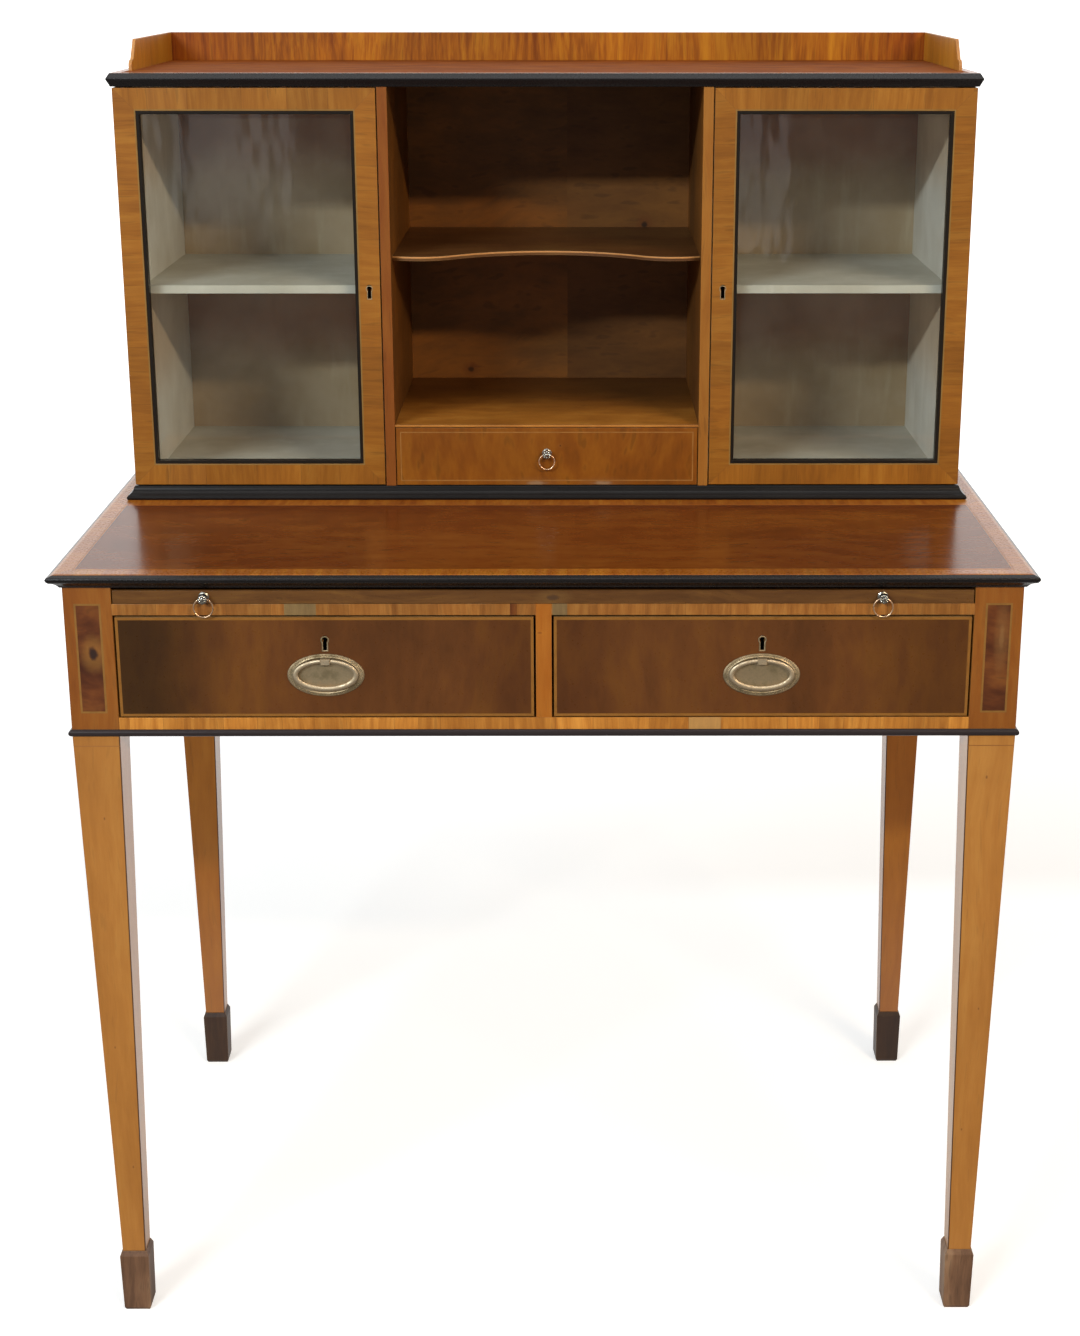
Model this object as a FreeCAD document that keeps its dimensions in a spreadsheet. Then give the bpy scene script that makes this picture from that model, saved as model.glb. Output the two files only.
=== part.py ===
"""Bonheur du jour: a lady's writing table with a glazed cabinet on its back half.

Every piece is an object of one FreeCAD document, and takes its sizes from the sheet.
Millimetres, +Z up, the front faces -Y, and the origin is on the floor at the middle of the
whole piece of furniture.
"""
import FreeCAD, Part
import os
import Sketcher

DOCUMENT = FreeCAD.newDocument("bonheur_du_jour")
SHEET = DOCUMENT.addObject("Spreadsheet::Sheet", "Sheet")
NODES = []


class Size:
    """A length together with the sheet expression that gives it."""

    def __init__(self, value, text):
        self.value = value
        self.text = text

    def __add__(self, other):
        return Size(self.value + number(other), "(%s + %s)" % (self.text, text(other)))

    def __sub__(self, other):
        return Size(self.value - number(other), "(%s - %s)" % (self.text, text(other)))

    def __mul__(self, other):
        return Size(self.value * number(other), "(%s * %s)" % (self.text, text(other)))

    def __truediv__(self, other):
        return Size(self.value / number(other), "(%s / %s)" % (self.text, text(other)))

    def __radd__(self, other):
        return Size(number(other) + self.value, "(%s + %s)" % (text(other), self.text))

    def __rsub__(self, other):
        return Size(number(other) - self.value, "(%s - %s)" % (text(other), self.text))

    def __rmul__(self, other):
        return self * other

    def __neg__(self):
        return self * -1


def number(length):
    """The plain value of a Size or of a number."""
    return length.value if isinstance(length, Size) else float(length)


def text(length):
    """The sheet expression of a Size, or a number written out."""
    return length.text if isinstance(length, Size) else "%.6f" % length


def size(alias, value):
    """Write one driving dimension on the next row of the sheet and return it."""
    row = size.next_row
    size.next_row = row + 1
    SHEET.set("A%d" % row, alias)
    SHEET.set("B%d" % row, "%g" % value)
    SHEET.setAlias("B%d" % row, alias)
    return Size(float(value), "Sheet.%s" % alias)


size.next_row = 1

# The table
frieze_width = size("frieze_width", 855)
frieze_depth = size("frieze_depth", 558)
table_height = size("table_height", 760)
top_thickness = size("top_thickness", 13)
top_overhang = size("top_overhang", 12)
frieze_height = size("frieze_height", 140.5)
leg_square = size("leg_square", 43)
ankle_square = size("ankle_square", 22.6)
foot_height = size("foot_height", 66)
foot_square = size("foot_square", 28)
foot_taper = size("foot_taper", 2)
foot_neck_edge = size("foot_neck_edge", 1)
foot_shoulder = size("foot_shoulder", 5)
foot_worn_edge = size("foot_worn_edge", 3)
rail_thickness = size("rail_thickness", 18)
front_rail_depth = size("front_rail_depth", 42)
bottom_rail_height = size("bottom_rail_height", 17.7)
slide_rail_height = size("slide_rail_height", 10.5)
divider_width = size("divider_width", 14.2)
bead_height = size("bead_height", 6.6)
bead_projection = size("bead_projection", 3)
runner_width = size("runner_width", 14)
runner_height = size("runner_height", 14)
guide_height = size("guide_height", 16)
moulding_depth = size("moulding_depth", 8)
top_arris_out = size("top_arris_out", 5)
top_foot_out = size("top_foot_out", 2)
top_cove_height = size("top_cove_height", 5.3)
top_cove_bow = size("top_cove_bow", 0.9)
top_nose_under = size("top_nose_under", 3)
top_nose_drop = size("top_nose_drop", 4)
top_nose_bow = size("top_nose_bow", 0.5)
top_nose_cap = size("top_nose_cap", 1)
bead_root = size("bead_root", 0.4)
mortise_clearance = size("mortise_clearance", 0.6)
overrun = size("overrun", 1)

# The writing slide and the frieze drawers
slide_length = size("slide_length", 400)
slide_thickness = size("slide_thickness", 12.2)
slide_top_gap = size("slide_top_gap", 3.3)
slide_gap = size("slide_gap", 1.2)
slide_clearance = size("slide_clearance", 0.3)
slide_pull_x = size("slide_pull_x", 302)
drawer_gap = size("drawer_gap", 1.9)
drawer_rest = size("drawer_rest", 0.3)
drawer_front_lift = size("drawer_front_lift", 1.2)
drawer_length = size("drawer_length", 470)
drawer_front_thickness = size("drawer_front_thickness", 20)
drawer_wall = size("drawer_wall", 9)
drawer_bottom_thickness = size("drawer_bottom_thickness", 6)
drawer_bottom_rise = size("drawer_bottom_rise", 7)
drawer_lap = size("drawer_lap", 5)
side_drop = size("side_drop", 6)
groove_depth = size("groove_depth", 4)
joint_clearance = size("joint_clearance", 0.05)
dovetail_slope = size("dovetail_slope", 6)

# The cabinet
cabinet_width = size("cabinet_width", 828)
cabinet_setback = size("cabinet_setback", 283)
base_board = size("base_board", 13)
cabinet_opening = size("cabinet_opening", 389.5)
cabinet_top_board = size("cabinet_top_board", 12.5)
cabinet_moulding_out = size("cabinet_moulding_out", 4)
base_moulding_out = size("base_moulding_out", 8)
base_foot = size("base_foot", 1)
base_nose_bottom = size("base_nose_bottom", 2)
base_nose_height = size("base_nose_height", 4.2)
base_nose_round = size("base_nose_round", 1.2)
base_fillet = size("base_fillet", 1)
cornice_fillet = size("cornice_fillet", 0.8)
cornice_foot = size("cornice_foot", 2)
cornice_nose_height = size("cornice_nose_height", 5.6)
cornice_nose_width = size("cornice_nose_width", 2)
cornice_nose_round = size("cornice_nose_round", 0.5)
side_thickness = size("side_thickness", 17)
partition_thickness = size("partition_thickness", 9.8)
bay_width = size("bay_width", 303)
back_panel = size("back_panel", 9)
back_inset = size("back_inset", 4)
cupboard_floor = size("cupboard_floor", 7)
cupboard_shelf_top = size("cupboard_shelf_top", 211)
cupboard_shelf_thickness = size("cupboard_shelf_thickness", 8)
centre_shelf_top = size("centre_shelf_top", 240)
centre_shelf_thickness = size("centre_shelf_thickness", 4)
centre_shelf_setback = size("centre_shelf_setback", 17)
cupboard_shelf_setback = size("cupboard_shelf_setback", 1)
shelf_lobe_length = size("shelf_lobe_length", 56)
shelf_waist = size("shelf_waist", 2)
shelf_lobe = size("shelf_lobe", 9)
shelf_hollow = size("shelf_hollow", 38)
drawer_board_top = size("drawer_board_top", 74.7)
drawer_board_thickness = size("drawer_board_thickness", 6)
drawer_board_lip = size("drawer_board_lip", 2.2)
drawer_board_setback = size("drawer_board_setback", 0.5)
drawer_board_clearance = size("drawer_board_clearance", 1)
gallery_height = size("gallery_height", 29)
gallery_thickness = size("gallery_thickness", 3)
gallery_inset = size("gallery_inset", 9.5)
gallery_setback = size("gallery_setback", 54.5)
gallery_slope = size("gallery_slope", 17.5)
gallery_heel = size("gallery_heel", 2)
gallery_toe_rise = size("gallery_toe_rise", 5.5)
gallery_toe = size("gallery_toe", 10.5)
gallery_toe_height = size("gallery_toe_height", 8)

# The doors
door_thickness = size("door_thickness", 17)
door_member = size("door_member", 21.3)
door_gap = size("door_gap", 1.2)
door_rest_gap = size("door_rest_gap", 1)
door_edge_inset = size("door_edge_inset", 0.6)
glazing_bead_width = size("glazing_bead_width", 3.2)
glazing_bead_depth = size("glazing_bead_depth", 9)
glass_thickness = size("glass_thickness", 2)
glass_rebate = size("glass_rebate", 6)
glass_clearance = size("glass_clearance", 0.5)
hinge_length = size("hinge_length", 50)
hinge_inset = size("hinge_inset", 60)
hinge_leaf = size("hinge_leaf", 1.4)
hinge_leaf_margin = size("hinge_leaf_margin", 0.3)
hinge_axis_out = size("hinge_axis_out", 0.3)
hinge_clearance = size("hinge_clearance", 0.15)
knuckle_clearance = size("knuckle_clearance", 0.4)
knuckle_radius = size("knuckle_radius", 2.2)
pin_radius = size("pin_radius", 1.1)
pin_clearance = size("pin_clearance", 0.06)
knuckle_gap = size("knuckle_gap", 0.35)
bead_recess = size("bead_recess", 0.2)
glass_play = size("glass_play", 0.1)

# The locks
keyhole_width = size("keyhole_width", 3.4)
keyhole_eye = size("keyhole_eye", 2.6)
keyhole_height = size("keyhole_height", 12)
lock_width = size("lock_width", 44)
lock_height = size("lock_height", 30)
lock_depth = size("lock_depth", 9)
door_lock_margin = size("door_lock_margin", 0.3)
door_lock_drop = size("door_lock_drop", 1.2)
keyhole_shoulder = size("keyhole_shoulder", 1.6)
bolt_hold = size("bolt_hold", 3)
bolt_width = size("bolt_width", 14)
bolt_thickness = size("bolt_thickness", 4)
bolt_length = size("bolt_length", 14)
bolt_clearance = size("bolt_clearance", 0.3)
bolt_throw = size("bolt_throw", 5)

# The brass pulls
plate_width = size("plate_width", 69.4)
plate_height = size("plate_height", 40)
plate_thickness = size("plate_thickness", 1.6)
plate_end_radius = size("plate_end_radius", 13)
plate_dish = size("plate_dish", 0.8)
dish_width = size("dish_width", 54)
dish_height = size("dish_height", 26)
dish_end_radius = size("dish_end_radius", 8)
bail_width = size("bail_width", 56)
bail_height = size("bail_height", 27.5)
bail_end_radius = size("bail_end_radius", 9)
bail_wire = size("bail_wire", 1.3)
bail_standoff = size("bail_standoff", 3.3)
bail_clearance = size("bail_clearance", 0.3)
post_width = size("post_width", 8.6)
post_height = size("post_height", 6.6)
post_wall = size("post_wall", 0.9)
handle_height = size("handle_height", 39.4)
escutcheon_height = size("escutcheon_height", 68.6)
knob_radius = size("knob_radius", 4.6)
knob_neck = size("knob_neck", 2.4)
knob_shoulder = size("knob_shoulder", 2.8)
knob_length = size("knob_length", 9.6)
knob_rose = size("knob_rose", 4.8)
knob_rose_edge = size("knob_rose_edge", 0.6)
knob_rose_bow = size("knob_rose_bow", 0.2)
knob_rose_depth = size("knob_rose_depth", 1.6)
knob_neck_bow = size("knob_neck_bow", 0.5)
knob_head_bow = size("knob_head_bow", 1.3)
slide_ring_radius = size("slide_ring_radius", 8.6)
small_ring_radius = size("small_ring_radius", 7.7)
ring_wire = size("ring_wire", 0.75)
ring_hole = size("ring_hole", 2.4)
ring_standoff = size("ring_standoff", 5.4)

# The small drawer
small_drawer_gap = size("small_drawer_gap", 0.9)
small_drawer_length = size("small_drawer_length", 245)
small_drawer_front = size("small_drawer_front", 12)
small_drawer_wall = size("small_drawer_wall", 6)
small_drawer_bottom = size("small_drawer_bottom", 3)
small_drawer_rise = size("small_drawer_rise", 1.5)
small_groove_depth = size("small_groove_depth", 2)
small_drawer_lap = size("small_drawer_lap", 3)
small_front_lift = size("small_front_lift", 0.8)
small_top_gap = size("small_top_gap", 0.6)
small_side_drop = size("small_side_drop", 3)
small_pull_height = size("small_pull_height", 33)

# Places worked out from the driving sizes
front_y = (top_overhang - frieze_depth) / 2
back_y = front_y + frieze_depth
half_frieze = frieze_width / 2
top_underside = table_height - top_thickness
frieze_bottom = top_underside - frieze_height
leg_inner_x = half_frieze - leg_square
leg_centre_x = half_frieze - leg_square / 2
front_leg_y = front_y + leg_square / 2
rear_leg_y = back_y - leg_square / 2
drawer_floor = frieze_bottom + bottom_rail_height
slide_rail_top = top_underside - slide_top_gap - slide_thickness - slide_clearance
slide_rail_bottom = slide_rail_top - slide_rail_height
drawer_left_edge = divider_width / 2 + drawer_gap
drawer_right_edge = leg_inner_x - drawer_gap
drawer_centre_x = (drawer_left_edge + drawer_right_edge) / 2
drawer_front_bottom = drawer_floor + drawer_front_lift
drawer_front_top = slide_rail_bottom - drawer_gap
half_cabinet = cabinet_width / 2
cabinet_front = front_y + cabinet_setback
cabinet_floor = table_height + base_board
cabinet_ceiling = cabinet_floor + cabinet_opening
cabinet_roof = cabinet_ceiling + cabinet_top_board
door_back = cabinet_front + door_thickness
side_front = door_back + door_rest_gap
interior_back = back_y - back_inset - back_panel
half_bay = bay_width / 2
partition_outer = half_bay + partition_thickness
cupboard_outer = half_cabinet - side_thickness
door_inner_edge = partition_outer + door_gap
door_outer_edge = half_cabinet - door_edge_inset
door_bottom = cabinet_floor + door_gap
door_top = cabinet_ceiling - door_gap
lock_z = (door_bottom + door_top) / 2 - door_lock_drop
door_lock_width = door_member - glass_rebate - door_lock_margin
hinge_leaf_width = door_member - glass_rebate - hinge_leaf_margin
hinge_axis_x = half_cabinet + hinge_axis_out
hinge_axis_y = door_back + door_rest_gap / 2


# ---------------------------------------------------------------- drawing helpers
AXES = {"XY": ("XY_Plane", 1), "XZ": ("XZ_Plane", -1), "YZ": ("YZ_Plane", 1)}


def keep(feature, name):
    """Label a finished sub-part and put it on the list that is written out."""
    feature.Label = name
    NODES.append(feature)
    return feature


def new_body(name):
    """An empty body."""
    return DOCUMENT.addObject("PartDesign::Body", name)


def sketch_on(body, plane, start, name):
    """A sketch of the body, on one of its origin planes moved along its own axis to start."""
    role, direction = AXES[plane]
    sketch = body.newObject("Sketcher::SketchObject", name)
    support = [feature for feature in body.Origin.OriginFeatures if feature.Role == role][0]
    sketch.AttachmentSupport = [(support, "")]
    sketch.MapMode = "FlatFace"
    sketch.setExpression("AttachmentOffset.Base.z", text(start * direction))
    return sketch


def pin_down(sketch, geometry, end, point):
    """Hold one end of a line or arc, or the centre of a circle, at a point of the sheet's sizes."""
    for kind, value in (("DistanceX", point[0]), ("DistanceY", point[1])):
        constraint = Sketcher.Constraint(kind, -1, 1, geometry, end, number(value))
        index = sketch.addConstraint(constraint)
        sketch.setExpression("Constraints[%d]" % index, text(value))


def draw(sketch, corners):
    """A closed outline through the corners. A third number bows the side that starts there.

    The bow is how far the middle of the side stands out to its right.
    """
    count = len(corners)
    sides = []
    for index, corner in enumerate(corners):
        following = corners[(index + 1) % count]
        start = FreeCAD.Vector(number(corner[0]), number(corner[1]), 0)
        finish = FreeCAD.Vector(number(following[0]), number(following[1]), 0)
        if len(corner) == 2:
            sides.append(sketch.addGeometry(Part.LineSegment(start, finish), False))
            continue
        chord = finish - start
        outward = FreeCAD.Vector(chord.y, -chord.x, 0).normalize()
        middle = (start + finish) / 2 + outward * number(corner[2])
        sides.append(sketch.addGeometry(Part.Arc(start, middle, finish), False))
    for index, corner in enumerate(corners):
        end = 1
        if len(corner) == 3 and number(corner[2]) < 0:
            end = 2
        pin_down(sketch, sides[index], end, corner)
        previous = sides[index - 1]
        arc_before = len(corners[index - 1]) == 3 and number(corners[index - 1][2]) < 0
        sketch.addConstraint(Sketcher.Constraint("Coincident", previous, 1 if arc_before else 2,
                                                 sides[index], end))
    for index, corner in enumerate(corners):
        if len(corner) == 3:
            following = corners[(index + 1) % count]
            run = following[0] - corner[0]
            rise = following[1] - corner[1]
            bow = corner[2] if number(corner[2]) > 0 else corner[2] * -1
            radius = (run * run + rise * rise) / (bow * 8) + bow / 2
            constraint = Sketcher.Constraint("Radius", sides[index], number(radius))
            place = sketch.addConstraint(constraint)
            sketch.setExpression("Constraints[%d]" % place, text(radius))


def circle_on(sketch, centre, radius):
    """A circle whose centre and radius come from the sheet's sizes."""
    middle = FreeCAD.Vector(number(centre[0]), number(centre[1]), 0)
    circle = sketch.addGeometry(Part.Circle(middle, FreeCAD.Vector(0, 0, 1), number(radius)),
                                False)
    pin_down(sketch, circle, 3, centre)
    place = sketch.addConstraint(Sketcher.Constraint("Radius", circle, number(radius)))
    sketch.setExpression("Constraints[%d]" % place, text(radius))


def extrude(body, sketch, kind, length, onward):
    """Pad or pocket a sketch of the body towards its plane's positive or negative side."""
    feature = body.newObject("PartDesign::" + kind, kind.lower())
    feature.Profile = sketch
    feature.Reversed = onward
    feature.setExpression("Length", text(length))
    return feature


def take_away(body, sketch, plane, length):
    """Pocket a sketch along the plane's own axis, and make sure that something was taken."""
    DOCUMENT.recompute()
    before = body.Shape.Volume
    feature = extrude(body, sketch, "Pocket", length, plane != "XZ")
    DOCUMENT.recompute()
    if body.Shape.Volume >= before:
        raise RuntimeError("a cut in %s takes nothing away" % body.Label)
    return feature


def pad(body, plane, corners, start, length):
    """Add a prism to the body, from start along the plane's own axis."""
    sketch = sketch_on(body, plane, start, "outline")
    draw(sketch, corners)
    return extrude(body, sketch, "Pad", length, plane == "XZ")


def cut(body, plane, corners, start, length):
    """Take a prism out of the body, from start along the plane's own axis."""
    sketch = sketch_on(body, plane, start, "cut_outline")
    draw(sketch, corners)
    return take_away(body, sketch, plane, length)


def bore(body, plane, centre, radius, start, length):
    """Take a round hole out of the body, from start along the plane's own axis."""
    sketch = sketch_on(body, plane, start, "bore_circle")
    circle_on(sketch, centre, radius)
    return take_away(body, sketch, plane, length)


def round_bar(body, plane, centre, radius, start, length):
    """Add a round bar to the body, from start along the plane's own axis."""
    sketch = sketch_on(body, plane, start, "round")
    circle_on(sketch, centre, radius)
    return extrude(body, sketch, "Pad", length, plane == "XZ")


def rectangle(low_x, low_y, high_x, high_y):
    """The corners of an upright rectangle."""
    return [(low_x, low_y), (high_x, low_y), (high_x, high_y), (low_x, high_y)]


def centred(middle_x, middle_y, width, height):
    """The corners of a rectangle about its middle."""
    return rectangle(middle_x - width / 2, middle_y - height / 2,
                     middle_x + width / 2, middle_y + height / 2)


def prism(name, plane, corners, start, length):
    """A body that is one prism."""
    body = new_body(name)
    pad(body, plane, corners, start, length)
    return body


def board(name, low, high):
    """A plain rectangular board between two corners."""
    box = DOCUMENT.addObject("Part::Box", name)
    for prop, axis in (("Length", 0), ("Width", 1), ("Height", 2)):
        box.setExpression(prop, text(high[axis] - low[axis]))
    for letter, axis in (("x", 0), ("y", 1), ("z", 2)):
        box.setExpression(".Placement.Base.%s" % letter, text(low[axis]))
    return box


def side_span(side, near, far):
    """Two distances from the middle plane as low and high x on one side of it."""
    return (near, far) if side > 0 else (far * -1, near * -1)


def group(name, pieces):
    """Several separate solids that are one sub-part."""
    compound = DOCUMENT.addObject("Part::Compound", name)
    compound.Links = pieces
    return keep(compound, name)


def four_sided(name, centre, profile):
    """A member shaped alike on four sides and sawn from a square blank.

    The profile is (level, half width) from the bottom up.
    """
    widest = max((half for _, half in profile), key=number)
    outline = [(centre[0] + half, level) for level, half in profile]
    outline += [(centre[0] - half, level) for level, half in reversed(profile)]
    body = prism(name, "XZ", outline, centre[1] - widest, widest * 2)
    for side in (-1, 1):
        waste = [(centre[1] + half * side, level) for level, half in profile]
        outside = centre[1] + (widest + overrun) * side
        waste += [(outside, profile[-1][0]), (outside, profile[0][0])]
        cut(body, "YZ", waste, centre[0] - widest, widest * 2)
    return body


def mitred_front(name, profile, half_width, face, reach, depth):
    """A moulding along the front, its ends mitred. The profile is (out, z) from the face."""
    corners = placed(profile, face, -1)
    span = half_width + reach
    body = prism(name, "YZ", corners, span * -1, span * 2)
    bottom, height = height_of(profile)
    for side in (-1, 1):
        triangle = [((half_width - depth) * side, face + depth),
                    (span * side, face - reach),
                    (span * side, face + depth)]
        cut(body, "XY", triangle, bottom, height)
    return body


def mitred_side(name, side, profile, half_width, face, reach, depth, back):
    """The return of a moulding along one side, mitred at the front and square at the back."""
    corners = placed(profile, half_width * side, side)
    body = prism(name, "XZ", corners, face - reach, back - face + reach)
    triangle = [((half_width - depth) * side, face + depth),
                ((half_width + reach) * side, face - reach),
                ((half_width - depth) * side, face - reach)]
    bottom, height = height_of(profile)
    cut(body, "XY", triangle, bottom, height)
    return body


def height_of(profile):
    """Where a cutter for a moulding starts, and how tall it is."""
    levels = [point[1] for point in profile]
    bottom = min(levels, key=number) - overrun
    return bottom, max(levels, key=number) - bottom + overrun


def placed(profile, face, direction):
    """A moulding's profile moved to a face, out along +1 or -1. A mirrored bow turns over."""
    corners = []
    for point in profile:
        bow = tuple(value * direction for value in point[2:])
        corners.append((face + point[0] * direction, point[1]) + bow)
    return corners


def moulding(name, profile, half_width, face, reach, depth, back):
    """A moulding round the front and both sides, in three mitred lengths."""
    pieces = [mitred_front(name + "_front", profile, half_width, face, reach, depth)]
    for side, word in ((-1, "_left"), (1, "_right")):
        pieces.append(mitred_side(name + word, side, profile, half_width, face, reach,
                                  depth, back))
    return group(name, pieces)


# ---------------------------------------------------------------- the table
def table_top():
    """The table's board and the ebonised moulding round its front and sides."""
    inner = half_frieze - moulding_depth
    keep(board("table_top", (inner * -1, front_y + moulding_depth, top_underside),
               (inner, back_y, table_height)), "table_top")
    tip = table_height - top_nose_drop
    profile = [(moulding_depth * -1, top_underside),
               (top_foot_out, top_underside, top_cove_bow * -1),
               (top_overhang - top_nose_under, top_underside + top_cove_height, top_nose_bow),
               (top_overhang, tip, top_nose_bow / 2),
               (top_overhang - top_nose_cap, tip + top_nose_cap * 2),
               (top_arris_out, table_height),
               (moulding_depth * -1, table_height)]
    moulding("table_top_moulding", profile, half_frieze, front_y, top_overhang,
             moulding_depth, back_y)


def leg(name, centre_x, centre_y):
    """A leg: a square post through the frieze, tapered on all four sides below it."""
    profile = [(foot_height, ankle_square / 2),
               (frieze_bottom, leg_square / 2),
               (top_underside, leg_square / 2)]
    keep(four_sided(name, (centre_x, centre_y), profile), name)


def spade_foot(name, centre_x, centre_y):
    """A foot: a chamfered shoulder, a slight taper and a worn lower edge."""
    sole = foot_square - foot_taper
    profile = [(0, (sole - foot_worn_edge) / 2),
               (foot_worn_edge, sole / 2),
               (foot_height - foot_shoulder, foot_square / 2),
               (foot_height, (ankle_square + foot_neck_edge) / 2)]
    return four_sided(name, (centre_x, centre_y), profile)


def legs_and_feet():
    """Four legs, and the four feet as one node."""
    feet = []
    for row, centre_y in (("front", front_leg_y), ("rear", rear_leg_y)):
        for side, word in ((-1, "left"), (1, "right")):
            centre_x = leg_centre_x * side
            leg("leg_%s_%s" % (row, word), centre_x, centre_y)
            feet.append(spade_foot("foot_%s_%s" % (row, word), centre_x, centre_y))
    group("spade_feet", feet)


def frieze():
    """The rails between the legs, the upright between the drawers, and the bead."""
    behind_leg = front_y + leg_square
    before_leg = back_y - leg_square
    for side, word in ((-1, "left"), (1, "right")):
        low_x, high_x = side_span(side, half_frieze - rail_thickness, half_frieze)
        name = "side_rail_" + word
        keep(board(name, (low_x, behind_leg, frieze_bottom),
                   (high_x, before_leg, top_underside)), name)
    keep(board("back_rail", (leg_inner_x * -1, back_y - rail_thickness, frieze_bottom),
               (leg_inner_x, back_y, top_underside)), "back_rail")
    keep(board("bottom_rail", (leg_inner_x * -1, front_y, frieze_bottom),
               (leg_inner_x, front_y + front_rail_depth, drawer_floor)), "bottom_rail")
    slide_rail = prism("slide_rail", "XZ",
                       rectangle(leg_inner_x * -1, slide_rail_bottom, leg_inner_x,
                                 slide_rail_top), front_y, front_rail_depth)
    tongue = front_rail_depth / 3
    cut(slide_rail, "XY", centred(0, front_y + tongue / 2, divider_width, tongue),
        slide_rail_bottom, slide_rail_height)
    for side in (-1, 1):
        middle_x = drawer_centre_x * side
        cut(slide_rail, "XY",
            centred(middle_x, drawer_bolt_y(), bolt_width + mortise_clearance * 2,
                    bolt_thickness + mortise_clearance * 2), slide_rail_bottom,
            bolt_throw + overrun)
    keep(slide_rail, "slide_rail")
    divider = prism("drawer_divider", "XZ",
                    rectangle(divider_width / -2, drawer_floor, divider_width / 2,
                              slide_rail_bottom), front_y, front_rail_depth)
    pad(divider, "XZ", rectangle(divider_width / -2, slide_rail_bottom, divider_width / 2,
                                 slide_rail_top), front_y, tongue)
    keep(divider, "drawer_divider")
    profile = [(0, frieze_bottom),
               (bead_root, frieze_bottom, bead_projection - bead_root),
               (bead_root, frieze_bottom + bead_height),
               (0, frieze_bottom + bead_height)]
    moulding("frieze_bead", profile, half_frieze, front_y, bead_projection, 0, back_y)


def drawer_bolt_y():
    """Where the bolts of the frieze drawers lie, front to back."""
    return front_y + drawer_front_thickness - lock_depth / 2


def runners():
    """What the drawers run on, what guides them and what keeps them from tipping."""
    start = front_y + front_rail_depth
    finish = back_y - rail_thickness
    bearer_bottom = drawer_floor - runner_height
    pieces = []
    for side, word in ((-1, "left"), (1, "right")):
        outer = half_frieze - rail_thickness
        inner = leg_inner_x - runner_width
        behind_leg = front_y + leg_square
        before_leg = back_y - leg_square
        low_x, high_x = side_span(side, inner, leg_inner_x)
        pieces.append(board("runner_" + word, (low_x, start, bearer_bottom),
                            (high_x, finish, drawer_floor)))
        low_x, high_x = side_span(side, leg_inner_x, outer)
        pieces.append(board("guide_" + word, (low_x, behind_leg, bearer_bottom),
                            (high_x, before_leg, drawer_floor + guide_height)))
        low_x, high_x = side_span(side, inner, leg_inner_x)
        pieces.append(board("kicker_" + word, (low_x, start, slide_rail_bottom),
                            (high_x, finish, slide_rail_top)))
    centre = divider_width / 2 + runner_width
    pieces.append(board("runner_centre", (centre * -1, start, bearer_bottom),
                        (centre, finish, drawer_floor)))
    pieces.append(board("guide_centre", (divider_width / -2, start, drawer_floor),
                        (divider_width / 2, finish, drawer_floor + guide_height)))
    pieces.append(board("kicker_centre", (centre * -1, start, slide_rail_bottom),
                        (centre, finish, slide_rail_top)))
    group("drawer_runners", pieces)


# ---------------------------------------------------------------- the brass pulls
def turned_knob(name, centre_x, face, centre_z):
    """A turned knob: a rose on the wood, a neck, and a head bored across for the ring."""
    body = new_body(name)
    sketch = sketch_on(body, "YZ", centre_x, "half_section")
    neck_end = ring_standoff - knob_shoulder
    outline = [(face, centre_z),
               (face, centre_z + knob_rose),
               (face - knob_rose_edge, centre_z + knob_rose, knob_rose_bow),
               (face - knob_rose_depth, centre_z + knob_neck),
               (face - neck_end, centre_z + knob_neck, knob_neck_bow),
               (face - ring_standoff, centre_z + knob_radius, knob_head_bow),
               (face - knob_length, centre_z)]
    draw(sketch, outline)
    turning = body.newObject("PartDesign::Revolution", "turning")
    turning.Profile = sketch
    axis_line = sketch_on(body, "YZ", centre_x, "turning_axis")
    shaft = axis_line.addGeometry(Part.LineSegment(FreeCAD.Vector(0, 0, 0),
                                                   FreeCAD.Vector(10, 0, 0)), False)
    pin_down(axis_line, shaft, 1, (face, centre_z))
    pin_down(axis_line, shaft, 2, (face - knob_length, centre_z))
    turning.ReferenceAxis = (axis_line, ["Edge1"])
    turning.Angle = 360
    bore(body, "YZ", (face - ring_standoff, centre_z), ring_hole, centre_x - knob_radius * 2,
         knob_radius * 4)
    return body


def hanging_ring(name, centre_x, face, knob_z, radius):
    """A thin wire ring that hangs in the hole of a knob."""
    ring = DOCUMENT.addObject("Part::Torus", name)
    ring.setExpression("Radius1", text(radius))
    ring.setExpression("Radius2", text(ring_wire))
    ring.Placement.Rotation = FreeCAD.Rotation(FreeCAD.Vector(1, 0, 0), 90)
    ring.setExpression(".Placement.Base.x", text(centre_x))
    ring.setExpression(".Placement.Base.y", text(face - ring_standoff))
    ring.setExpression(".Placement.Base.z", text(knob_z - radius))
    return keep(ring, name)


def oval(middle, width, height, end_radius):
    """A four-centred oval: two tight arcs at its ends and two flat ones between them."""
    half_wide = width / 2
    half_high = height / 2
    flat_radius = (half_wide * half_wide + half_high * half_high
                   - half_wide * end_radius * 2) / ((half_high - end_radius) * 2)
    share = end_radius / (flat_radius - end_radius)
    joint_x = half_wide - end_radius + (half_wide - end_radius) * share
    joint_z = (flat_radius - half_high) * share
    end_bow = half_wide - joint_x
    flat_bow = half_high - joint_z
    return [(middle[0] + joint_x, middle[1] - joint_z, end_bow),
            (middle[0] + joint_x, middle[1] + joint_z, flat_bow),
            (middle[0] - joint_x, middle[1] + joint_z, end_bow),
            (middle[0] - joint_x, middle[1] - joint_z, flat_bow)]


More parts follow.
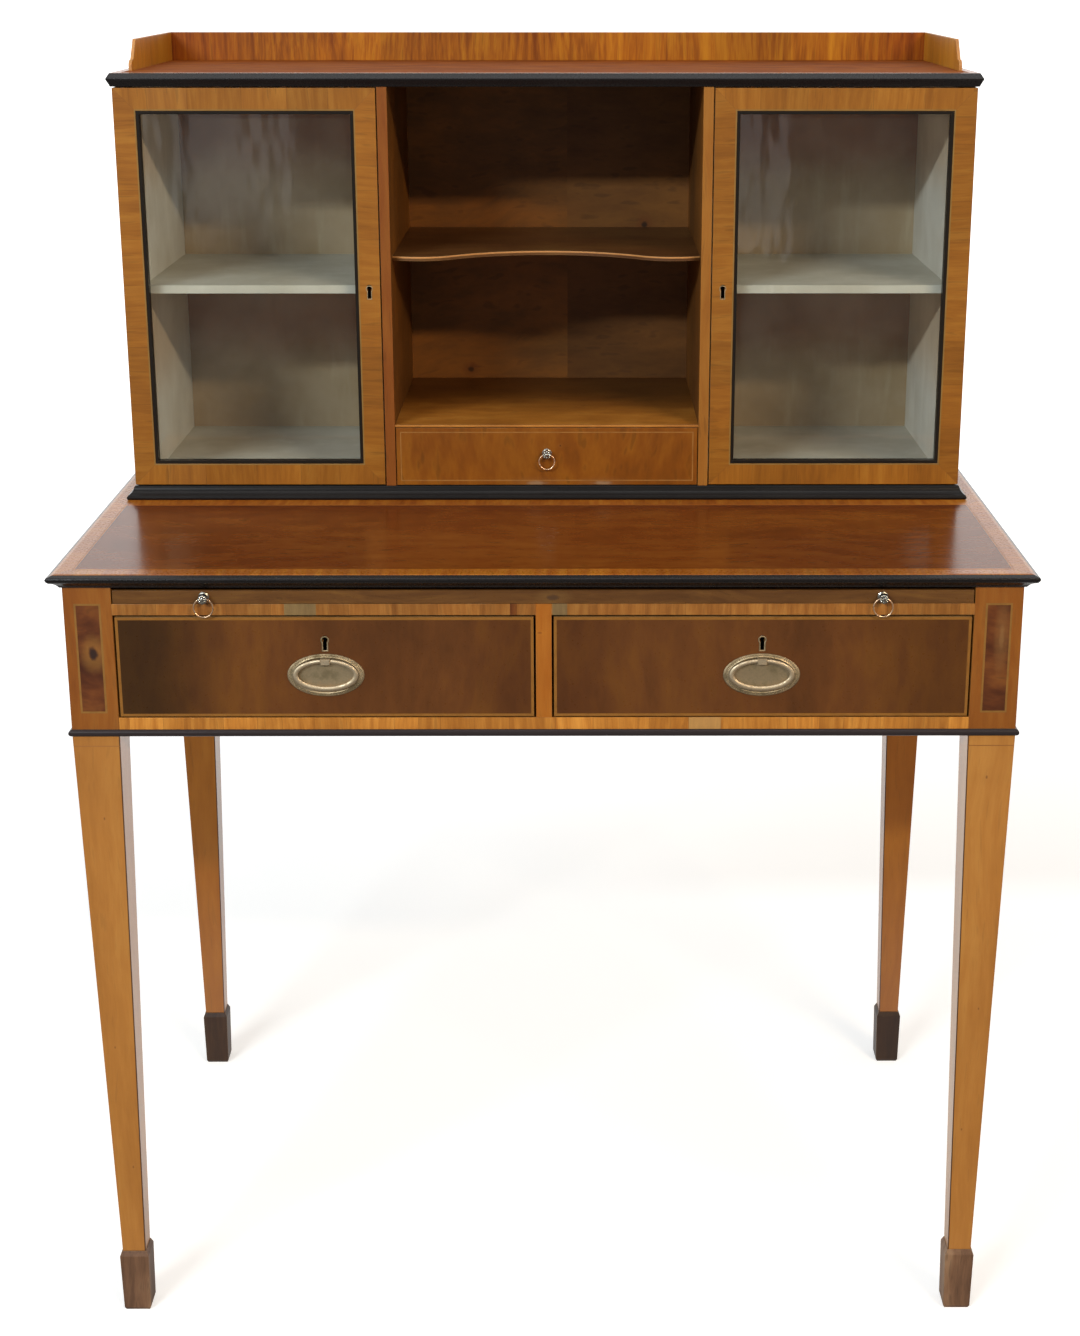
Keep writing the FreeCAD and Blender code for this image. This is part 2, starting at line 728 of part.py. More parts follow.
def handle(side, word):
    """One drawer pull: a dished oval plate with its post, and the oval bail in the post."""
    middle_x = drawer_centre_x * side
    middle_z = drawer_front_bottom + handle_height
    middle = (middle_x, middle_z)
    pivot_y = front_y - bail_standoff
    pivot_z = middle_z + bail_height / 2
    plate_face = front_y - plate_thickness
    plate = prism("plate", "XZ", oval(middle, plate_width, plate_height, plate_end_radius),
                  plate_face, plate_thickness)
    cut(plate, "XZ", oval(middle, dish_width, dish_height, dish_end_radius), plate_face,
        plate_dish)
    bored = bail_wire + bail_clearance
    reach = bail_standoff + bored + post_wall - plate_thickness
    pad(plate, "XZ", centred(middle_x, pivot_z, post_width, post_height), plate_face - reach,
        reach)
    cut(plate, "YZ", centred(pivot_y, pivot_z, bored * 2, bored * 2),
        middle_x - post_width / 2, post_width)
    keep(plate, "drawer_%s_plate" % word)
    bail = new_body("bail")
    path = sketch_on(bail, "XZ", pivot_y, "bail_path")
    draw(path, oval(middle, bail_width, bail_height, bail_end_radius))
    section = sketch_on(bail, "YZ", middle_x, "bail_section")
    circle_on(section, (pivot_y, pivot_z), bail_wire)
    sweep = bail.newObject("PartDesign::AdditivePipe", "bail_wire")
    sweep.Profile = section
    sweep.Spine = (path, ["Edge1", "Edge2", "Edge3", "Edge4"])
    keep(bail, "drawer_%s_bail" % word)


# ---------------------------------------------------------------- slide and drawers
def writing_slide():
    """The slide above the drawers, its two knobs and their rings."""
    edge = leg_inner_x - slide_gap
    bottom = slide_rail_top + slide_clearance
    top = bottom + slide_thickness
    panel = prism("writing_slide", "YZ",
                  rectangle(front_y, bottom, front_y + slide_length, top), edge * -1, edge * 2)
    keep(panel, "writing_slide")
    knob_z = (bottom + top) / 2
    knobs = [turned_knob("knob_" + word, slide_pull_x * side, front_y, knob_z)
             for side, word in ((-1, "left"), (1, "right"))]
    group("slide_knobs", knobs)
    for side, word in ((-1, "left"), (1, "right")):
        hanging_ring("slide_ring_" + word, slide_pull_x * side, front_y, knob_z,
                     slide_ring_radius)


EYE_CHORD = 0.8
EYE_BOW = 1.6


def keyhole(body, centre_x, centre_z, start, length):
    """Cut a keyhole: a round eye above a straight slot.

    The eye is an arc on a chord of 0.8 of its width, which stands 1.6 radii above the chord.
    """
    slot_top = centre_z + keyhole_height / 2 - keyhole_eye
    half_slot = keyhole_width / 2
    bottom = centre_z - keyhole_height / 2
    corners = [(centre_x - half_slot, bottom),
               (centre_x + half_slot, bottom),
               (centre_x + half_slot, slot_top - keyhole_shoulder),
               (centre_x + keyhole_eye * EYE_CHORD, slot_top, keyhole_eye * EYE_BOW),
               (centre_x - keyhole_eye * EYE_CHORD, slot_top),
               (centre_x - half_slot, slot_top - keyhole_shoulder)]
    cut(body, "XZ", corners, start, length)


TAIL_SHARE = 0.5


def tails(root, end, bottom, top, count, play):
    """Dovetails between two levels, from the lowest up, each as four corners.

    They are narrow at their root and wide at their end. Play makes them larger all round.
    """
    pitch = (top - bottom) / count
    long = end - root
    run = long if number(long) > 0 else long * -1
    flare = run / dovetail_slope
    outlines = []
    for index in range(count):
        middle = bottom + pitch * (index + TAIL_SHARE)
        half_root = pitch * TAIL_SHARE / 2 + play
        half_end = half_root + flare
        outlines.append([(root, middle - half_root), (end, middle - half_end),
                         (end, middle + half_end), (root, middle + half_root)])
    return outlines


def sockets(body, low_x, high_x, outlines):
    """Cut dovetail sockets through part of a board, all with one pocket."""
    sketch = sketch_on(body, "YZ", low_x, "sockets")
    for outline in outlines:
        draw(sketch, outline)
    take_away(body, sketch, "YZ", high_x - low_x)


def tailed_side(name, low_x, high_x, box, front_tails, rear_tails):
    """A drawer side with tails at both ends. Box is (front, back, bottom, top)."""
    front, back, bottom, top = box
    corners = [(front, bottom)]
    corners += [corner for tail in front_tails for corner in tail]
    corners += [(front, top), (back, top)]
    corners += [corner for tail in reversed(rear_tails) for corner in reversed(tail)]
    corners.append((back, bottom))
    corners.reverse()
    return prism(name, "YZ", corners, low_x, high_x - low_x)


class DrawerBox:
    """The sides, back and bottom of a drawer, dovetailed together and to its front."""

    def __init__(self, name, span, box, wall, depths):
        """Span is (low x, high x) and box (front, back, bottom, top).

        Depths are the tails in the front, the groove, the bottom's rise and its thickness.
        """
        self.name = name
        self.low_x, self.high_x = span
        self.front, self.back, self.bottom, self.top = box
        self.wall = wall
        self.tail, self.groove, rise, thickness = depths
        self.panel_bottom = self.bottom + rise
        self.panel_top = self.panel_bottom + thickness

    def front_tails(self, count, play):
        """The tails that enter the front."""
        return tails(self.front, self.front - self.tail, self.bottom + self.wall, self.top,
                     count, play)

    def rear_tails(self, count, play):
        """The tails that pass through the back, which are as long as it is thick."""
        return tails(self.back - self.wall, self.back, self.panel_top, self.top, count, play)

    def side(self, word, low_x, high_x, count):
        """One side, grooved on its inner face for the bottom."""
        inner = self.back - self.wall
        box = (self.front, inner, self.bottom, self.top)
        body = tailed_side(self.name + word, low_x, high_x, box, self.front_tails(count, 0),
                           self.rear_tails(count, 0))
        near = high_x - self.groove if word == "_side_a" else low_x
        cut(body, "YZ", rectangle(self.front, self.panel_bottom, self.back, self.panel_top),
            near, self.groove)
        return body

    def back_board(self, count):
        """The back, which stands on the bottom between the tails of the sides."""
        body = prism(self.name + "_back", "XZ",
                     rectangle(self.low_x, self.panel_top, self.high_x, self.top),
                     self.back - self.wall, self.wall)
        outlines = self.rear_tails(count, joint_clearance)
        sockets(body, self.low_x, self.low_x + self.wall + joint_clearance, outlines)
        sockets(body, self.high_x - self.wall - joint_clearance, self.high_x, outlines)
        return body

    def bottom_board(self):
        """The bottom, slid into the grooves from behind."""
        inside = self.wall - self.groove + joint_clearance
        return board(self.name + "_bottom",
                     (self.low_x + inside, self.front - self.groove + joint_clearance,
                      self.panel_bottom + joint_clearance),
                     (self.high_x - inside, self.back, self.panel_top - joint_clearance))

    def fit_front(self, front, count):
        """Cut the sockets of the sides and the groove of the bottom into the front."""
        outlines = self.front_tails(count, joint_clearance)
        deeper = [[(corner[0] - joint_clearance * (index in (1, 2)), corner[1])
                   for index, corner in enumerate(outline)] for outline in outlines]
        sockets(front, self.low_x, self.low_x + self.wall + joint_clearance, deeper)
        sockets(front, self.high_x - self.wall - joint_clearance, self.high_x, deeper)
        inside = self.wall - self.groove
        cut(front, "XZ", rectangle(self.low_x + inside, self.panel_bottom,
                                   self.high_x - inside, self.panel_top),
            self.front - self.groove, self.groove)

    def pieces(self, count):
        """The two sides, the back and the bottom."""
        return [self.side("_side_a", self.low_x, self.low_x + self.wall, count),
                self.side("_side_b", self.high_x - self.wall, self.high_x, count),
                self.back_board(count), self.bottom_board()]


def frieze_drawer(side, word):
    """One frieze drawer: front, box, lock with its bolt, and pull."""
    low_x, high_x = side_span(side, drawer_left_edge, drawer_right_edge)
    middle_x = drawer_centre_x * side
    key_z = drawer_front_bottom + escutcheon_height
    front = prism("drawer_front", "XZ",
                  rectangle(low_x, drawer_front_bottom, high_x, drawer_front_top), front_y,
                  drawer_front_thickness)
    lock_back = front_y + drawer_front_thickness
    lock_bottom = drawer_front_top - lock_height
    cut(front, "XZ", rectangle(middle_x - lock_width / 2, lock_bottom, middle_x + lock_width / 2,
                               drawer_front_top), lock_back - lock_depth, lock_depth)
    keyhole(front, middle_x, key_z, front_y, drawer_front_thickness - lock_depth)
    box = DrawerBox("drawer", (low_x, high_x),
                    (lock_back, front_y + drawer_length, drawer_floor + drawer_rest,
                     drawer_front_top - side_drop), drawer_wall,
                    (drawer_front_thickness - drawer_lap, groove_depth, drawer_bottom_rise,
                     drawer_bottom_thickness))
    box.fit_front(front, 4)
    keep(front, "drawer_%s_front" % word)
    group("drawer_%s_box" % word, box.pieces(4))
    slack = bolt_clearance
    lock = prism("lock", "XZ",
                 rectangle(middle_x - lock_width / 2 + slack, lock_bottom + slack,
                           middle_x + lock_width / 2 - slack, drawer_front_top),
                 lock_back - lock_depth + slack, lock_depth - slack)
    cut(lock, "XY", centred(middle_x, drawer_bolt_y(), bolt_width + slack * 2,
                            bolt_thickness + slack * 2),
        drawer_front_top - bolt_length - slack, bolt_length + slack + overrun)
    keep(lock, "drawer_%s_lock" % word)
    bolt = board("bolt", (middle_x - bolt_width / 2, drawer_bolt_y() - bolt_thickness / 2,
                          drawer_front_top - bolt_length),
                 (middle_x + bolt_width / 2, drawer_bolt_y() + bolt_thickness / 2,
                  drawer_front_top))
    keep(bolt, "drawer_%s_bolt" % word)
    handle(side, word)


def small_drawer():
    """The small drawer under the open bay, with its knob and ring."""
    edge = half_bay - small_drawer_gap
    bottom = cabinet_floor + small_front_lift
    board_top = table_height + drawer_board_top
    top = board_top - drawer_board_lip - small_top_gap
    front = prism("small_drawer_front", "XZ", rectangle(edge * -1, bottom, edge, top),
                  cabinet_front, small_drawer_front)
    box = DrawerBox("small_drawer", (edge * -1, edge),
                    (cabinet_front + small_drawer_front, cabinet_front + small_drawer_length,
                     cabinet_floor + drawer_rest,
                     board_top - drawer_board_thickness - small_side_drop), small_drawer_wall,
                    (small_drawer_front - small_drawer_lap, small_groove_depth,
                     small_drawer_rise, small_drawer_bottom))
    box.fit_front(front, 3)
    keep(front, "small_drawer_front")
    group("small_drawer_box", box.pieces(3))
    knob_z = cabinet_floor + small_pull_height
    knob = turned_knob("small_drawer_knob", 0, cabinet_front, knob_z)
    keep(knob, "small_drawer_knob")
    hanging_ring("small_drawer_ring", 0, cabinet_front, knob_z, small_ring_radius)


# ---------------------------------------------------------------- the cabinet
def cabinet_case():
    """The case of the cabinet: its boards, sides, partitions and back."""
    inner = half_cabinet - moulding_depth
    keep(board("cabinet_bottom", (inner * -1, cabinet_front + moulding_depth, table_height),
               (inner, back_y, cabinet_floor)), "cabinet_bottom")
    keep(board("cabinet_top", (inner * -1, cabinet_front + moulding_depth, cabinet_ceiling),
               (inner, back_y, cabinet_roof)), "cabinet_top")
    base_profile = [(moulding_depth * -1, table_height),
                    (base_moulding_out - base_foot, table_height),
                    (base_moulding_out, table_height + base_nose_bottom),
                    (base_moulding_out - base_nose_round, table_height + base_nose_height,
                     base_nose_round * -1),
                    (base_fillet, cabinet_floor - base_fillet),
                    (0, cabinet_floor),
                    (moulding_depth * -1, cabinet_floor)]
    moulding("base_moulding", base_profile, half_cabinet, cabinet_front, base_moulding_out,
             moulding_depth, back_y)
    nose = cabinet_ceiling + cornice_nose_height
    top_profile = [(moulding_depth * -1, cabinet_ceiling),
                   (cornice_fillet, cabinet_ceiling),
                   (cornice_fillet * 2, cabinet_ceiling + cornice_foot),
                   (cabinet_moulding_out - cornice_nose_round, nose, cornice_nose_round / 2),
                   (cabinet_moulding_out, nose + cornice_nose_width),
                   (cornice_fillet, cabinet_roof),
                   (moulding_depth * -1, cabinet_roof)]
    moulding("top_moulding", top_profile, half_cabinet, cabinet_front, cabinet_moulding_out,
             moulding_depth, back_y)
    keep(board("cabinet_back", (cupboard_outer * -1, interior_back, cabinet_floor),
               (cupboard_outer, interior_back + back_panel, cabinet_ceiling)), "cabinet_back")
    for side, word in ((-1, "left"), (1, "right")):
        cabinet_side(side, word)
        partition(side, word)


def cabinet_side(side, word):
    """One side of the cabinet, its front edge recessed for the hinge leaves."""
    low_x, high_x = side_span(side, cupboard_outer, half_cabinet)
    body = prism("cabinet_side", "XY", rectangle(low_x, side_front, high_x, back_y),
                 cabinet_floor, cabinet_opening)
    for bottom in hinge_bottoms():
        hinge_recess(body, side, side_front, bottom)
    keep(body, "cabinet_side_" + word)


def hinge_bottoms():
    """The lower ends of a door's two hinges."""
    return (door_bottom + hinge_inset, door_top - hinge_inset - hinge_length)


def hinge_recess(body, side, face, bottom):
    """Let a hinge leaf into an edge at y = face, and clear the knuckle at the corner."""
    depth = hinge_leaf + hinge_clearance
    inward = depth if number(face) > number(hinge_axis_y) else depth * -1
    edge = half_cabinet - hinge_leaf_width
    low = min((face, face + inward), key=number)
    high = max((face, face + inward), key=number)
    start = bottom - hinge_clearance
    height = hinge_length + hinge_clearance * 2
    low_x, high_x = side_span(side, edge, half_cabinet + overrun)
    cut(body, "XY", rectangle(low_x, low, high_x, high), start, height)
    clear = knuckle_radius + knuckle_clearance
    low_x, high_x = side_span(side, hinge_axis_x - clear, half_cabinet + overrun)
    far = face + clear if number(face) > number(hinge_axis_y) else face - clear
    cut(body, "XY", rectangle(low_x, min((face, far), key=number), high_x,
                              max((face, far), key=number)), start, height)


def partition(side, word):
    """One upright partition, its edge flush with the doors and mortised for the bolt."""
    low_x, high_x = side_span(side, half_bay, partition_outer)
    body = prism("partition", "XY", rectangle(low_x, cabinet_front, high_x, interior_back),
                 cabinet_floor, cabinet_opening)
    depth = bolt_throw - door_gap + overrun
    near, far = side_span(side, partition_outer - depth, partition_outer)
    cut(body, "YZ", centred(door_bolt_y(), lock_z, bolt_thickness + mortise_clearance * 2,
                            bolt_width + mortise_clearance * 2), near, far - near)
    keep(body, "partition_" + word)


def door_bolt_y():
    """Where the bolts of the doors lie, front to back."""
    return door_back - lock_depth / 2


def cabinet_boards():
    """The shelves, the cupboard floors and the board above the small drawer."""
    pieces = []
    for side, word in ((-1, "left"), (1, "right")):
        low_x, high_x = side_span(side, partition_outer, cupboard_outer)
        pieces.append(board("floor_" + word, (low_x, side_front, cabinet_floor),
                            (high_x, interior_back, cabinet_floor + cupboard_floor)))
        shelf_top = table_height + cupboard_shelf_top
        pieces.append(board("shelf_" + word,
                            (low_x, side_front + cupboard_shelf_setback,
                             shelf_top - cupboard_shelf_thickness),
                            (high_x, interior_back, shelf_top)))
    group("cupboard_boards", pieces)
    start = cabinet_front + centre_shelf_setback
    lobe_end = half_bay - shelf_lobe_length
    waist = start + shelf_waist
    corners = [(half_bay * -1, interior_back),
               (half_bay * -1, start, shelf_lobe),
               (lobe_end * -1, waist, shelf_hollow * -1),
               (lobe_end, waist, shelf_lobe),
               (half_bay, start),
               (half_bay, interior_back)]
    top = table_height + centre_shelf_top
    shelf = prism("shelf_centre", "XY", corners, top - centre_shelf_thickness,
                  centre_shelf_thickness)
    keep(shelf, "shelf_centre")
    top = table_height + drawer_board_top
    bottom = top - drawer_board_thickness
    lip = cabinet_front + drawer_board_setback
    rebate = cabinet_front + small_drawer_front + drawer_board_clearance
    profile = [(rebate, bottom), (interior_back, bottom), (interior_back, top), (lip, top),
               (lip, top - drawer_board_lip), (rebate, top - drawer_board_lip)]
    drawer_board = prism("drawer_board", "YZ", profile, half_bay * -1, bay_width)
    keep(drawer_board, "drawer_board")


def gallery():
    """The low gallery: a back and two sides with shaped front ends."""
    outer = half_cabinet - gallery_inset
    inner = outer - gallery_thickness
    gallery_top = cabinet_roof + gallery_height
    keep(board("gallery_back", (outer * -1, back_y - gallery_thickness, cabinet_roof),
               (outer, back_y, gallery_top)), "gallery_back")
    start = cabinet_front + gallery_setback
    shaped = [(back_y - gallery_thickness, cabinet_roof),
              (back_y - gallery_thickness, gallery_top),
              (start + gallery_slope, gallery_top),
              (start, cabinet_roof + gallery_toe_height + gallery_heel, gallery_heel),
              (start - gallery_toe, cabinet_roof + gallery_toe_rise),
              (start - gallery_toe, cabinet_roof)]
    pieces = []
    for side, word in ((-1, "left"), (1, "right")):
        low_x, high_x = side_span(side, inner, outer)
        pieces.append(prism("gallery_" + word, "YZ", shaped, low_x, high_x - low_x))
    group("gallery_sides", pieces)


# ---------------------------------------------------------------- the doors
def frame_member(name, corners, back, rebate_corners):
    """One mitred member of a door frame, rebated at the back for the glass."""
    member = prism(name, "XZ", corners, cabinet_front, door_thickness)
    cut(member, "XZ", rebate_corners, back - (door_thickness - glazing_bead_depth),
        door_thickness - glazing_bead_depth)
    return member


def ring_of_four(low_x, low_z, high_x, high_z, width):
    """The four mitred members of a rectangular frame as outlines, each of a given width."""
    outer = [(low_x, low_z), (high_x, low_z), (high_x, high_z), (low_x, high_z)]
    inner = [(low_x + width, low_z + width), (high_x - width, low_z + width),
             (high_x - width, high_z - width), (low_x + width, high_z - width)]
    members = []
    for index in range(4):
        following = (index + 1) % 4
        members.append([outer[index], outer[following], inner[following], inner[index]])
    return members


def door(side, word):
    """One glazed door with its glass, beads, hinges and lock."""
    low_x, high_x = side_span(side, door_inner_edge, door_outer_edge)
    outlines = ring_of_four(low_x, door_bottom, high_x, door_top, door_member)
    kept = door_member - glass_rebate
    names = ("bottom_rail", "right_stile", "top_rail", "left_stile")
    members = []
    for name, outline in zip(names, outlines):
        members.append(frame_member(name, outline, door_back, inset_strip(outline, kept)))
    hinge_stile = members[1] if side > 0 else members[3]
    lock_stile = members[3] if side > 0 else members[1]
    for bottom in hinge_bottoms():
        hinge_recess(hinge_stile, side, door_back, bottom)
    lock_low, lock_high = side_span(side, door_inner_edge, door_inner_edge + door_lock_width)
    cut(lock_stile, "XZ", rectangle(lock_low, lock_z - lock_height / 2, lock_high,
                                    lock_z + lock_height / 2),
        door_back - lock_depth, lock_depth)
    key_x = (door_inner_edge + door_member / 2) * side
    keyhole(lock_stile, key_x, lock_z, cabinet_front, door_thickness - lock_depth)
    group("door_%s_frame" % word, members)
    glazing(word, low_x, high_x)
    door_hardware(side, word, lock_low, lock_high)


def inset_strip(outline, kept):
    """The inner strip of a mitred member, from a kept width to its inner edge."""
    outer_a, outer_b, inner_b, inner_a = outline
    share = number(kept) / number(door_member)
    near_a = blend(outer_a, inner_a, share)
    near_b = blend(outer_b, inner_b, share)
    return [near_a, near_b, inner_b, inner_a]


def blend(start, finish, share):
    """A point part of the way from one corner to another."""
    return (start[0] + (finish[0] - start[0]) * share, start[1] + (finish[1] - start[1]) * share)


def glazing(word, low_x, high_x):
    """The ebonised bead round the glass, and the glass in its rebate behind it."""
    bead = [prism("bead_%d" % index, "XZ", outline, cabinet_front + bead_recess,
                  glazing_bead_depth - bead_recess)
            for index, outline in enumerate(ring_of_four(low_x + door_member,
                                                         door_bottom + door_member,
                                                         high_x - door_member,
                                                         door_top - door_member,
                                                         glazing_bead_width))]
    group("door_%s_bead" % word, bead)
    cover = door_member - glass_rebate + glass_clearance
    glass_front = cabinet_front + glazing_bead_depth + glass_play
    keep(board("glass", (low_x + cover, glass_front, door_bottom + cover),
               (high_x - cover, glass_front + glass_thickness, door_top - cover)),
         "door_%s_glass" % word)


def door_hardware(side, word, lock_low, lock_high):
    """The lock case, the bolt, and the hinge leaves on the door."""
    slack = bolt_clearance
    case = prism("lock_case", "XZ",
                 rectangle(lock_low + slack * (side < 0), lock_z - lock_height / 2 + slack,
                           lock_high - slack * (side > 0), lock_z + lock_height / 2 - slack),
                 door_back - lock_depth + slack, lock_depth - slack)
    bolt_end = door_inner_edge
    tail = bolt_end + bolt_length - bolt_hold
    near, far = side_span(side, bolt_end - overrun, tail + slack)
    cut(case, "YZ", centred(door_bolt_y(), lock_z, bolt_thickness + slack * 2,
                            bolt_width + slack * 2), near, far - near)
    low_x, high_x = side_span(side, bolt_end, tail)
    bolt = board("door_bolt", (low_x, door_bolt_y() - bolt_thickness / 2,
                               lock_z - bolt_width / 2),
                 (high_x, door_bolt_y() + bolt_thickness / 2, lock_z + bolt_width / 2))
    pieces = [case]
    for index, bottom in enumerate(hinge_bottoms()):
        pieces.append(door_leaf("door_leaf_%d" % index, side, bottom))
    group("door_%s_hardware" % word, pieces)
    keep(bolt, "door_%s_bolt" % word)


def leaf_span(side):
    """The low and high x of a hinge leaf."""
    return side_span(side, half_cabinet - hinge_leaf_width, hinge_axis_x)


def door_leaf(name, side, bottom):
    """The leaf on the door, with the middle knuckle bored for the pin."""
    third = hinge_length / 3
    low_x, high_x = leaf_span(side)
    body = prism(name, "XY", rectangle(low_x, door_back - hinge_leaf, high_x, door_back),
                 bottom, hinge_length)
    axis = (hinge_axis_x * side, hinge_axis_y)
    clear = knuckle_radius + knuckle_clearance
    notch_low, notch_high = side_span(side, hinge_axis_x - clear, hinge_axis_x + clear)
    for start in (bottom, bottom + third * 2 - knuckle_gap):
        cut(body, "XY", rectangle(notch_low, door_back - hinge_leaf - overrun, notch_high,
                                  door_back + overrun), start, third + knuckle_gap)
    round_bar(body, "XY", axis, knuckle_radius, bottom + third + knuckle_gap,
              third - knuckle_gap * 2)
    bore(body, "XY", axis, pin_radius + pin_clearance, bottom, hinge_length)
    return body


def cabinet_leaf(name, side, bottom):
    """The leaf on the cabinet's side, with the two outer knuckles and the pin."""
    third = hinge_length / 3
    low_x, high_x = leaf_span(side)
    body = prism(name, "XY", rectangle(low_x, side_front, high_x, side_front + hinge_leaf),
                 bottom, hinge_length)
    axis = (hinge_axis_x * side, hinge_axis_y)
    clear = knuckle_radius + knuckle_clearance
    notch_low, notch_high = side_span(side, hinge_axis_x - clear, hinge_axis_x + clear)
    cut(body, "XY", rectangle(notch_low, side_front - overrun, notch_high,
                              side_front + hinge_leaf + overrun), bottom + third, third)
    round_bar(body, "XY", axis, knuckle_radius, bottom, third)
    round_bar(body, "XY", axis, knuckle_radius, bottom + third * 2, third)
    round_bar(body, "XY", axis, pin_radius, bottom, hinge_length)
    return body


def cabinet_hinges():
    """The four hinge leaves on the cabinet's sides."""
    pieces = []
    for side, word in ((-1, "left"), (1, "right")):
        for index, bottom in enumerate(hinge_bottoms()):
            pieces.append(cabinet_leaf("cabinet_leaf_%s_%d" % (word, index), side, bottom))
    group("cabinet_hinges", pieces)


# ---------------------------------------------------------------- checking and writing
def check_document():
    """Stop if any object failed or any sub-part has no valid shape."""
    for feature in DOCUMENT.Objects:
        if "Invalid" in feature.State or "Error" in feature.State:
            raise RuntimeError("%s failed: %s" % (feature.Label, feature.State))
    labels = [node.Label for node in NODES]
    if len(set(labels)) != len(labels):
        raise RuntimeError("two sub-parts have one name")
    for node in NODES:
        if node.Shape.isNull() or not node.Shape.isValid():
            raise RuntimeError("%s has no valid shape" % node.Label)


def write_parts():
    """Write each sub-part to its own STEP file."""
    os.makedirs("parts", exist_ok=True)
    for node in NODES:
        node.Shape.exportStep("parts/%s.step" % node.Label)
    print("%d sub-parts written" % len(NODES))


def build():
    """Make every sub-part, check them all and write them."""
    table_top()
    legs_and_feet()
    frieze()
    runners()
    writing_slide()
    for side, word in ((-1, "left"), (1, "right")):
        frieze_drawer(side, word)
    cabinet_case()
    cabinet_boards()
    gallery()
    small_drawer()
    for side, word in ((-1, "left"), (1, "right")):
        door(side, word)
    cabinet_hinges()
    DOCUMENT.recompute()
    check_document()
    write_parts()


build()
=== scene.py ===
"""Finishes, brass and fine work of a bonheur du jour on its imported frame."""

import logging
import math
from dataclasses import dataclass
from enum import Enum

import bmesh
import bpy
from mathutils import Matrix, Vector


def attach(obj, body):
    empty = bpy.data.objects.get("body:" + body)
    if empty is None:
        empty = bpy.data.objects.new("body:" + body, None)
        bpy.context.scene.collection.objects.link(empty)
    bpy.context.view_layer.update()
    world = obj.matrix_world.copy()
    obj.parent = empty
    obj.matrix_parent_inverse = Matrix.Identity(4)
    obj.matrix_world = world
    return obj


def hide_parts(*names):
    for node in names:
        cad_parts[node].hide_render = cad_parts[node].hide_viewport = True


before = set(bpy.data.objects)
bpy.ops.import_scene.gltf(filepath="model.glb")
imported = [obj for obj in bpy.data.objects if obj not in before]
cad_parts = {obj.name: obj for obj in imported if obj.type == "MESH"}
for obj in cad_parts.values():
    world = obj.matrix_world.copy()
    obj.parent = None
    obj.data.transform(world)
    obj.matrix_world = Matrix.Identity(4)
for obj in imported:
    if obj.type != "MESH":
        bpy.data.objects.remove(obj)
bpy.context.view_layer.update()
LOG = logging.getLogger("bonheur_du_jour")

Point = tuple[float, float, float]
Box = tuple[Point, Point]
Socket = bpy.types.NodeSocket


def tone(code: str) -> tuple[float, float, float, float]:
    """Turn a screen colour into a linear one.

    Args:
        code: Six hexadecimal figures after a hash sign.

    Returns:
        Red, green, blue and a full alpha.
    """
    parts = [int(code[i : i + 2], 16) / 255 for i in (1, 3, 5)]
    linear = [c / 12.92 if c <= 0.04045 else ((c + 0.055) / 1.055) ** 2.4 for c in parts]
    return (linear[0], linear[1], linear[2], 1.0)


def spaced(sockets: dict[str, object]) -> dict[str, object]:
    """The same sockets with spaces for underscores in their names."""
    return {name.replace("_", " "): value for name, value in sockets.items()}


